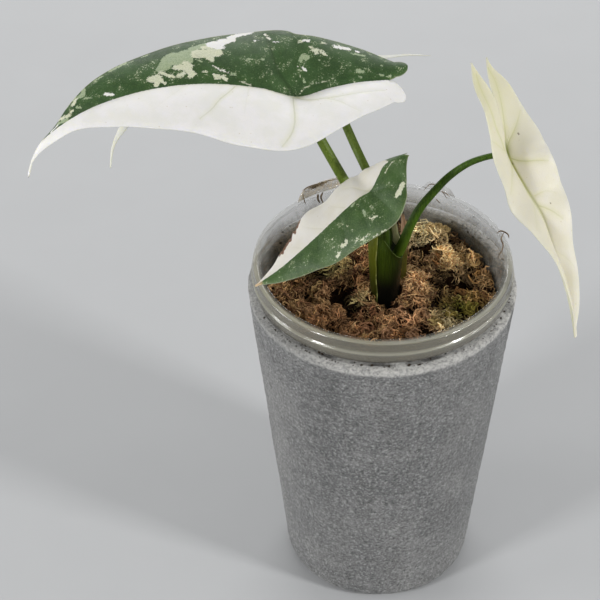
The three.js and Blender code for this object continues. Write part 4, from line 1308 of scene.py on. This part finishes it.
# Curls that stand out: x, y, size, turn, colour
LOOPS = [
    (-31, -1, 3.8, 0.9, (190, 160, 112)), (-24, -20, 3.2, 2.2, (170, 134, 96)),
    (-40, -14, 3.0, 1.5, (178, 146, 104)), (-8, -29, 3.0, 0.3, (176, 132, 100)),
    (24, -26, 3.0, 2.8, (190, 168, 112)), (15, 8, 3.4, 1.0, (222, 186, 138)),
    (18, -8, 3.0, 2.5, (204, 164, 122)), (44, 20, 3.4, 0.2, (236, 200, 140)),
    (35.5, 19.5, 3.6, 0.4, (214, 176, 120)), (47, 13, 3.2, 1.2, (206, 160, 104)),
    (26, 36, 3.8, 2.0, (228, 200, 146)), (31, 40, 3.0, 0.9, (230, 204, 150)),
    (20, 44, 3.2, 2.6, (214, 184, 130)), (40, -14, 3.0, 0.2, (160, 150, 72)),
    (31, -20, 3.2, 1.7, (178, 160, 90)), (17, -22, 3.0, 0.7, (214, 170, 128)),
    (-28, -8, 3.6, 2.3, (184, 150, 108)), (-34, -22, 3.2, 0.5, (168, 132, 98)),
    (2, -36, 3.2, 1.1, (190, 148, 116)), (-16, -34, 3.4, 2.7, (166, 126, 94)),
    (38, 2, 3.0, 2.1, (196, 150, 98)), (-22, -16, 3.2, 0.1, (176, 134, 92)),
    (28, 18, 3.0, 1.4, (188, 140, 92)), (14, -36, 3.4, 2.2, (198, 156, 124)),
]


def with_bells(total, x, y, places, width=1):
    """A height with round bumps added, each given as its x, y, radius and height."""
    for cx, cy, radius, height in places:
        total = total + height * np.exp(-((x - cx) ** 2 + (y - cy) ** 2) / (width * radius**2))
    return total


def moss_height(x, y):
    """The top of the CAD model's moss."""
    height = with_bells(MOSS_LEVEL, x, y, MOSS_LUMPS, 2)
    for across, up, phase in MOSS_CREASES:
        height -= 1.5 * (np.abs(np.sin(x * across + y * up + phase)) - 2 / math.pi)
    return height


def hollow_depth(x, y):
    return with_bells(0.0, x, y, HOLLOWS)


def tuft_height(x, y):
    """Tufts about 10 mm across, standing up to 3 mm above and below the bed, and the mounds."""
    flat = np.stack([x, y, np.zeros_like(x)], -1)
    return with_bells(3.2 * bumps(flat, 0.11, 6.0) + 2.2 * bumps(flat, 0.26, 1.0), x, y, MOUNDS)


def moss_surface(x, y):
    return moss_height(x, y) + tuft_height(x, y) - hollow_depth(x, y)


def moss_level_at(x, y):
    return float(moss_surface(np.array((x,)), np.array((y,)))[0])


def moss_ground():
    """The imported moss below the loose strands."""
    rings, sides = 70, 190
    turn = np.linspace(0, 2 * math.pi, sides, endpoint=False)
    reach = np.linspace(1, 0.02, rings)[:, None] * (cup_wall(MOSS_LEVEL) - CUP["wall"] - 0.25)
    x, y = reach * np.cos(turn), reach * np.sin(turn)
    z = moss_surface(x, y) - 2.2 + 0.8 * bumps(np.stack([x, y, x * 0], -1), 0.5, 3.0)
    foot, foot_bevel = CUP["foot"] + CUP["wall"] + CUP_GAP, 1.5
    side = []
    for level in (foot, foot + 3, 90, 120, 150):
        r = cup_wall(level) - CUP["wall"] - CUP_GAP - (foot_bevel if level == foot else 0)
        side.append(np.stack([r * np.cos(turn), r * np.sin(turn), np.full(sides, level)], -1))
    points = np.vstack([np.array(side), np.stack([x, y, z], -1)])
    s = Shader("moss_bed", roughness=0.95, specular_ior_level=0.1)
    lump = s.noise(0.6, 5, 0.7)
    # Near black: partly the moss's own dark brown, partly painted shade in the gaps between the strands.
    s.set("Base Color", s.ramp(lump, 0.35, 0.65, (12, 7, 4), (58, 38, 23)))
    s.set("Normal", s.bump(lump, 1.0))
    make_piece(
        "moss_bed", points.reshape(-1, 3), ring_faces(len(points), sides), "moss", s.material,
        ("sphagnum_moss",),
    )


def strand_color(draw, x, y, low):
    """A strand's colour: a random tone, pulled towards the zone it lies in, with painted shade where it
    lies low.
    """
    color = np.array(screen(*draw.choice(MOSS_TONES)))
    for cx, cy, radius, zone in MOSS_ZONES:
        pull = math.exp(-((x - cx) ** 2 + (y - cy) ** 2) / radius**2)
        color = color + (np.array(screen(*zone)) - color) * min(pull * draw.uniform(0.6, 1.3), 1)
    # Painted light and shade: lighter on the tufts, darker in the hollows.
    return color * MOSS_TINT * draw.choice((0.5, 0.75, 1.0, 1.3, 1.7)) * min(max(1 + 0.22 * low, 0.12), 1.5)


def curl(draw, centre, size, turn, lean, begin, arc, radius, steps):
    """A curling strand's line about a place on the moss, kept inside the cup and off the stem."""
    swing = begin + np.linspace(0, arc, steps)
    ring = size * (1 - draw.uniform(0, 0.5) * np.linspace(0, 1, steps))[:, None]
    flat = np.array((math.cos(turn), math.sin(turn), 0))
    up = np.array((-math.sin(turn) * math.cos(lean), math.cos(turn) * math.cos(lean), math.sin(lean)))
    wander = np.cumsum([[draw.gauss(0, 0.2) for _ in range(3)] for _ in range(steps)], axis=0)
    line = ring * (np.cos(swing)[:, None] * flat + np.sin(swing)[:, None] * up) + wander * size * 0.7
    line = line - line.mean(0) + centre
    limit = MOSS_WALL + 0.1 * (line[:, 2] - MOSS_LEVEL) - radius
    line[:, :2] *= np.minimum(1, limit / np.maximum(np.hypot(*line[:, :2].T), 1e-6))[:, None]
    away = line[:, :2] - BASE_AXIS
    inside = np.hypot(away[:, 0] / (STEM_HALF[0] + radius), away[:, 1] / (STEM_HALF[1] + radius))[:, None]
    line[:, :2] = np.where(inside < 1, BASE_AXIS + away / np.maximum(inside, 0.2), line[:, :2])
    return line


def moss_piece(name, drawn, steps, sides):
    """One piece of moss from the lines, radii and colours of its strands."""
    taper = np.interp(np.linspace(0, 1, steps), (0, 0.15, 0.8, 1), (0.6, 1, 0.9, 0.25))
    shade = np.repeat(np.linspace(0.75, 1.1, steps), sides)[:, None]
    vertices, faces = tubes([(line, radius * taper) for line, radius, _ in drawn], sides)
    tones = np.vstack([color * shade for _, _, color in drawn])
    make_piece(name, vertices, faces, "moss", strand_material, (), {"tone": tones})


def loose_strands(seed, bundles, per_bundle, radius, sizes, arcs, spread, steps):
    """Strands lying in bundles that bend the same way, thickest on the tufts."""
    draw = random.Random(seed)
    drawn = []
    while bundles:
        angle, reach = draw.uniform(0, 2 * math.pi), MOSS_WALL * math.sqrt(draw.random()) * 0.99
        cx, cy = np.array((reach * math.cos(angle),)), np.array((reach * math.sin(angle),))
        low = float((tuft_height(cx, cy) - 1.2 * hollow_depth(cx, cy))[0])
        if draw.random() > 0.75 + 0.25 * low:
            continue
        bundles -= 1
        cx, cy = float(cx[0]), float(cy[0])
        turn, lean = draw.uniform(0, 2 * math.pi), draw.uniform(0.0, 1.3)
        size, arc = draw.uniform(*sizes), draw.uniform(*arcs) * draw.choice((-1, 1))
        begin = draw.uniform(0, 2 * math.pi)
        tone = strand_color(draw, cx, cy, low)
        for _ in range(per_bundle):
            x, y = cx + draw.gauss(0, spread), cy + draw.gauss(0, spread)
            if math.hypot(x, y) > MOSS_WALL:
                continue
            place = (x, y, moss_level_at(x, y) + draw.uniform(-0.8, 0.9))
            line = curl(
                draw, place, size * draw.uniform(0.7, 1.25), turn + draw.gauss(0, 0.22),
                lean + draw.gauss(0, 0.18), begin + draw.gauss(0, 0.3), arc * draw.uniform(0.7, 1.2),
                radius, steps,
            )
            drawn.append((line, radius * draw.uniform(0.7, 1.25), tone * draw.uniform(0.75, 1.25)))
    return drawn


def standing_loops(seed, steps, strands=9):
    """The few big curls that catch the eye, each a skein of strands."""
    draw = random.Random(seed)
    drawn = []
    for x, y, size, turn, color in LOOPS:
        z = moss_level_at(x, y) + 0.9
        for _ in range(strands):
            place = (x + draw.gauss(0, 0.5), y + draw.gauss(0, 0.5), z + draw.gauss(0, 0.4))
            line = curl(
                draw, place, size * draw.uniform(0.7, 1.1), turn + draw.gauss(0, 0.15),
                0.5 + draw.gauss(0, 0.15), draw.uniform(0, 6.3), draw.uniform(4.0, 6.5), 0.45, steps,
            )
            radius = draw.uniform(0.3, 0.5)
            drawn.append((line, radius, np.array(screen(*color)) * draw.uniform(0.75, 1.15)))
    return drawn


def moss_strand_material():
    s = Shader("moss_strand", roughness=0.85, specular_ior_level=0.15)
    fleck = s.ramp(s.noise(1.6, 3, 0.7), 0.3, 0.7, (0.6, 0.55, 0.5, 1), (1.3, 1.25, 1.15, 1))
    s.set("Base Color", s.mix(1.0, s.carried("tone", "Vector"), fleck, "MULTIPLY"))
    s.set("Normal", s.bump(s.noise(3.0, 2, 0.7), 0.5))
    return s.material


MOSS_WALL = cup_wall(MOSS_LEVEL) - CUP["wall"] - 0.5
STEM_HALF = (7.8, 7.2)
strand_material = moss_strand_material()
moss_ground()
moss_piece("moss_curls", loose_strands(11, 420, 5, 0.42, (1.8, 4.2), (1.2, 3.6), 0.9, 9), 9, 4)
moss_piece("moss_threads", loose_strands(12, 900, 6, 0.2, (1.2, 3.4), (1.0, 3.6), 1.5, 6), 6, 3)
moss_piece("moss_fuzz", loose_strands(14, 1000, 6, 0.14, (0.8, 2.0), (0.8, 2.6), 1.3, 4), 4, 3)
moss_piece("moss_loops", standing_loops(13, 18), 18, 5)


# ---- Soil and stray fibres on the cup and the rim

# Crumbs on the cup's wall: x, y, z, size
WALL_CRUMBS = [
    (-47.2, 27.7, 170.3, 1.1), (-45.9, 30.6, 174.6, 0.5), (-42.6, 35.1, 174.7, 0.5),
    (-49.8, 22.7, 170.1, 0.6), (18.1, 51.4, 167.7, 0.9), (35.3, 41.9, 170.5, 0.6),
    (44.6, 31.5, 169.3, 0.5), (36.4, 42.1, 179.3, 0.4), (42.4, 34.5, 170.0, 0.7),
    (40.1, 37.0, 172.4, 0.4), (47.3, 27.4, 168.0, 0.5), (30.2, 46.4, 175.0, 0.4),
]
# Crumbs in the gap between the cup's collar and the concrete rim: x, y
RIM_CRUMBS = [
    (-37.2, -42.5), (-35.9, -43.8), (-33.7, -44.6), (-31.5, -46.6), (-29.7, -48.0), (-28.4, -49.4),
    (-14.3, -55.4), (-11.4, -57.3), (-6.8, -57.5), (0.7, -58.4), (9.6, -57.6), (19.1, -53.8),
    (26.0, -50.6), (33.1, -45.3), (37.9, -39.9), (42.9, -33.9), (47.1, -27.0), (51.0, -18.6),
]
# Fibres and stains: radius, and the places they pass
FIBRES = [
    (0.35, [
        (54.2, 17.4, 182.6), (55.7, 18.5, 182.9), (57.5, 17.7, 183),
        (59.2, 15.8, 182.8), (59.4, 13.5, 182.5),
    ]),
    (0.3, [
        (57.5, 17.7, 182.8), (55.7, 12.8, 182.5), (56.3, 9.1, 182.4),
        (55.4, 4.6, 182.4), (53.8, 1.7, 181.8), (53.1, -0.5, 181),
    ]),
    (0.25, [
        (22.2, 54.2, 180.6), (24, 53.5, 183.6), (25.8, 52.6, 185.4),
        (28.6, 51.1, 184.6), (31.5, 49.4, 181.7), (33, 48.5, 179.4),
    ]),
    (0.25, [(29.9, 50.4, 175.5), (28.9, 51, 176.2), (27.9, 51.5, 177.1)]),
    (0.22, [(30.1, 50.3, 182.8), (32, 49.2, 182.4), (34.3, 47.5, 181.2)]),
    (0.3, [
        (-36.3, 45.4, 187.9), (-34.2, 47, 188.5), (-31.3, 48.9, 188.3),
        (-25.5, 52.2, 188.1), (-19.5, 54.7, 187.6),
    ]),
    (0.45, [(-33.5, 47.4, 187.6), (-29.5, 49.9, 187.6), (-24.5, 52.6, 187.3)]),
    (0.35, [(-32.5, 48, 186.6), (-29, 50.2, 186.7), (-26, 51.8, 186.4)]),
    (0.55, [(-28.9, 50.4, 182), (-29, 50.4, 179), (-28, 50.9, 176.2)]),
    (0.45, [(-26.5, 51.7, 182.2), (-27.5, 51.2, 179.6), (-26.5, 51.7, 175.5)]),
    (0.3, [(-36.2, 45.5, 185.8), (-35.7, 45.8, 182.5), (-35, 46.4, 179)]),
]


def soil_piece(name, drawn, dark, light):
    """A piece made of small tubes, each a line and its radii, between two colours of soil."""
    s = Shader(name, roughness=0.9, specular_ior_level=0.15)
    fleck = s.noise(1.4, 3, 0.7)
    s.set("Base Color", s.ramp(fleck, 0.35, 0.65, dark, light))
    s.set("Normal", s.bump(fleck, 0.4))
    make_piece(name, *tubes(drawn, 6), "moss", s.material)


def crumb(draw, place, size):
    """The line and radii of a small lump of soil."""
    lean = np.array([draw.gauss(0, 1) for _ in range(3)]) * (1, 1, 0.4)
    line = np.array(place) + np.linspace(-1, 1, 5)[:, None] * unit(lean) * size
    return line, size * np.array((0.3, 0.8, 1, 0.7, 0.25)) * draw.uniform(0.5, 0.8)


def soil_crumbs():
    """The crumbs seen on the wall and the rim, and finer ones scattered among them."""
    draw = random.Random(31)
    on_rim, on_wall = 90, 70
    lumps = [crumb(draw, (x, y, z), size) for x, y, z, size in WALL_CRUMBS]
    for x, y in RIM_CRUMBS:
        lumps.append(crumb(draw, (x * 1.01, y * 1.01, POT["height"] + 0.5), draw.uniform(0.5, 1.0)))
    for _ in range(on_rim):
        turn, reach = math.radians(draw.uniform(-160, 20)), 59.2 + abs(draw.gauss(0, 0.4))
        place = (reach * math.cos(turn), reach * math.sin(turn), POT["height"] + 0.2)
        lumps.append(crumb(draw, place, draw.uniform(0.2, 0.5)))
    for _ in range(on_wall):
        turn, z = math.radians(draw.uniform(10, 170)), draw.uniform(165, 181)
        reach = cup_wall(z) - CUP["wall"]
        place = (reach * math.cos(turn), reach * math.sin(turn), z)
        lumps.append(crumb(draw, place, draw.uniform(0.15, 0.35)))
    soil_piece("soil_crumbs", lumps, (34, 28, 22), (72, 62, 50))


def stray_fibres():
    """The dry fibres and drips on the cup's rim, each thin at both ends."""
    steps = 16
    taper = np.interp(np.linspace(0, 1, steps), (0, 0.2, 0.8, 1), (0.4, 1, 0.9, 0.3))
    drawn = [(curve_through(places, steps)[0], radius * taper) for radius, places in FIBRES]
    soil_piece("stray_fibres", drawn, (80, 62, 44), (132, 110, 84))


soil_crumbs()
stray_fibres()


# ---- Studio

# Each light's place and what it aims at in metres, its width and height and its power
LIGHTS = {
    "soft_right": ((1.7, -0.98, 1.0), (0, 0, 0.1), (0.3, 0.3), 26.4),
    "soft_left": ((-1.7, -1.24, 1.08), (0, 0, 0.1), (0.4, 0.4), 23.2),
    "soft_back": ((0.0, 1.5, 0.9), (0, 0.4, 0.0), (1.6, 0.5), 15.7),
    "low_left": ((-1.5, -0.1, 0.35), (0, 0, 0.1), (0.5, 0.5), 6.3),
    "low_right": ((1.5, -0.1, 0.35), (0, 0, 0.1), (0.5, 0.5), 2.0),
}
AIR_COLOR, AIR_STRENGTH = (0.985, 0.995, 1.0, 1), 0.365


def add_to_scene(name, data):
    thing = bpy.data.objects.new(name, data)
    bpy.context.scene.collection.objects.link(thing)
    return thing


def paper_floor():
    size = 4.0
    mesh = bpy.data.meshes.new("studio_floor")
    corners = [(-size, -size, 0), (size, -size, 0), (size, size, 0), (-size, size, 0)]
    mesh.from_pydata(corners, [], [(0, 1, 2, 3)])
    floor = add_to_scene("studio_floor", mesh)
    s = Shader("studio_paper", roughness=0.85, specular_ior_level=0.2)
    s.set("Base Color", s.mix(s.noise(0.02, 2), (180, 181, 182), (184, 185, 186)))
    mesh.materials.append(s.material)


def studio():
    paper_floor()
    for name, (position, aim, size, power) in LIGHTS.items():
        data = bpy.data.lights.new(name, "AREA")
        data.shape, data.size, data.size_y, data.energy = "RECTANGLE", *size, power
        lamp = add_to_scene(name, data)
        lamp.location = position
        lamp.rotation_euler = (Vector(aim) - Vector(position)).to_track_quat("-Z", "Y").to_euler()
    world = bpy.data.worlds.new("studio_air")
    world.use_nodes = True
    air = world.node_tree.nodes["Background"].inputs
    air["Color"].default_value, air["Strength"].default_value = AIR_COLOR, AIR_STRENGTH
    bpy.context.scene.world = world
    bpy.context.scene.view_settings.view_transform = "Standard"


def camera():
    elevation, roll = math.radians(CAMERA["elevation"]), math.radians(CAMERA["roll"])
    back = Vector((0, -math.cos(elevation), math.sin(elevation)))
    up = Vector((0, math.sin(elevation), math.cos(elevation)))
    right = Vector((1, 0, 0))
    x_axis = right * math.cos(roll) + up * math.sin(roll)
    y_axis = -right * math.sin(roll) + up * math.cos(roll)
    data = bpy.data.cameras.new("camera")
    data.lens, data.sensor_width = LENS, SENSOR
    eye = add_to_scene("camera", data)
    place = Vector(CAMERA["target"]) + back * CAMERA["distance"]
    turn = Matrix((x_axis, y_axis, back)).transposed().to_4x4()
    eye.matrix_world = Matrix.Translation(place * MM) @ turn
    bpy.context.scene.camera = eye


studio()
camera()
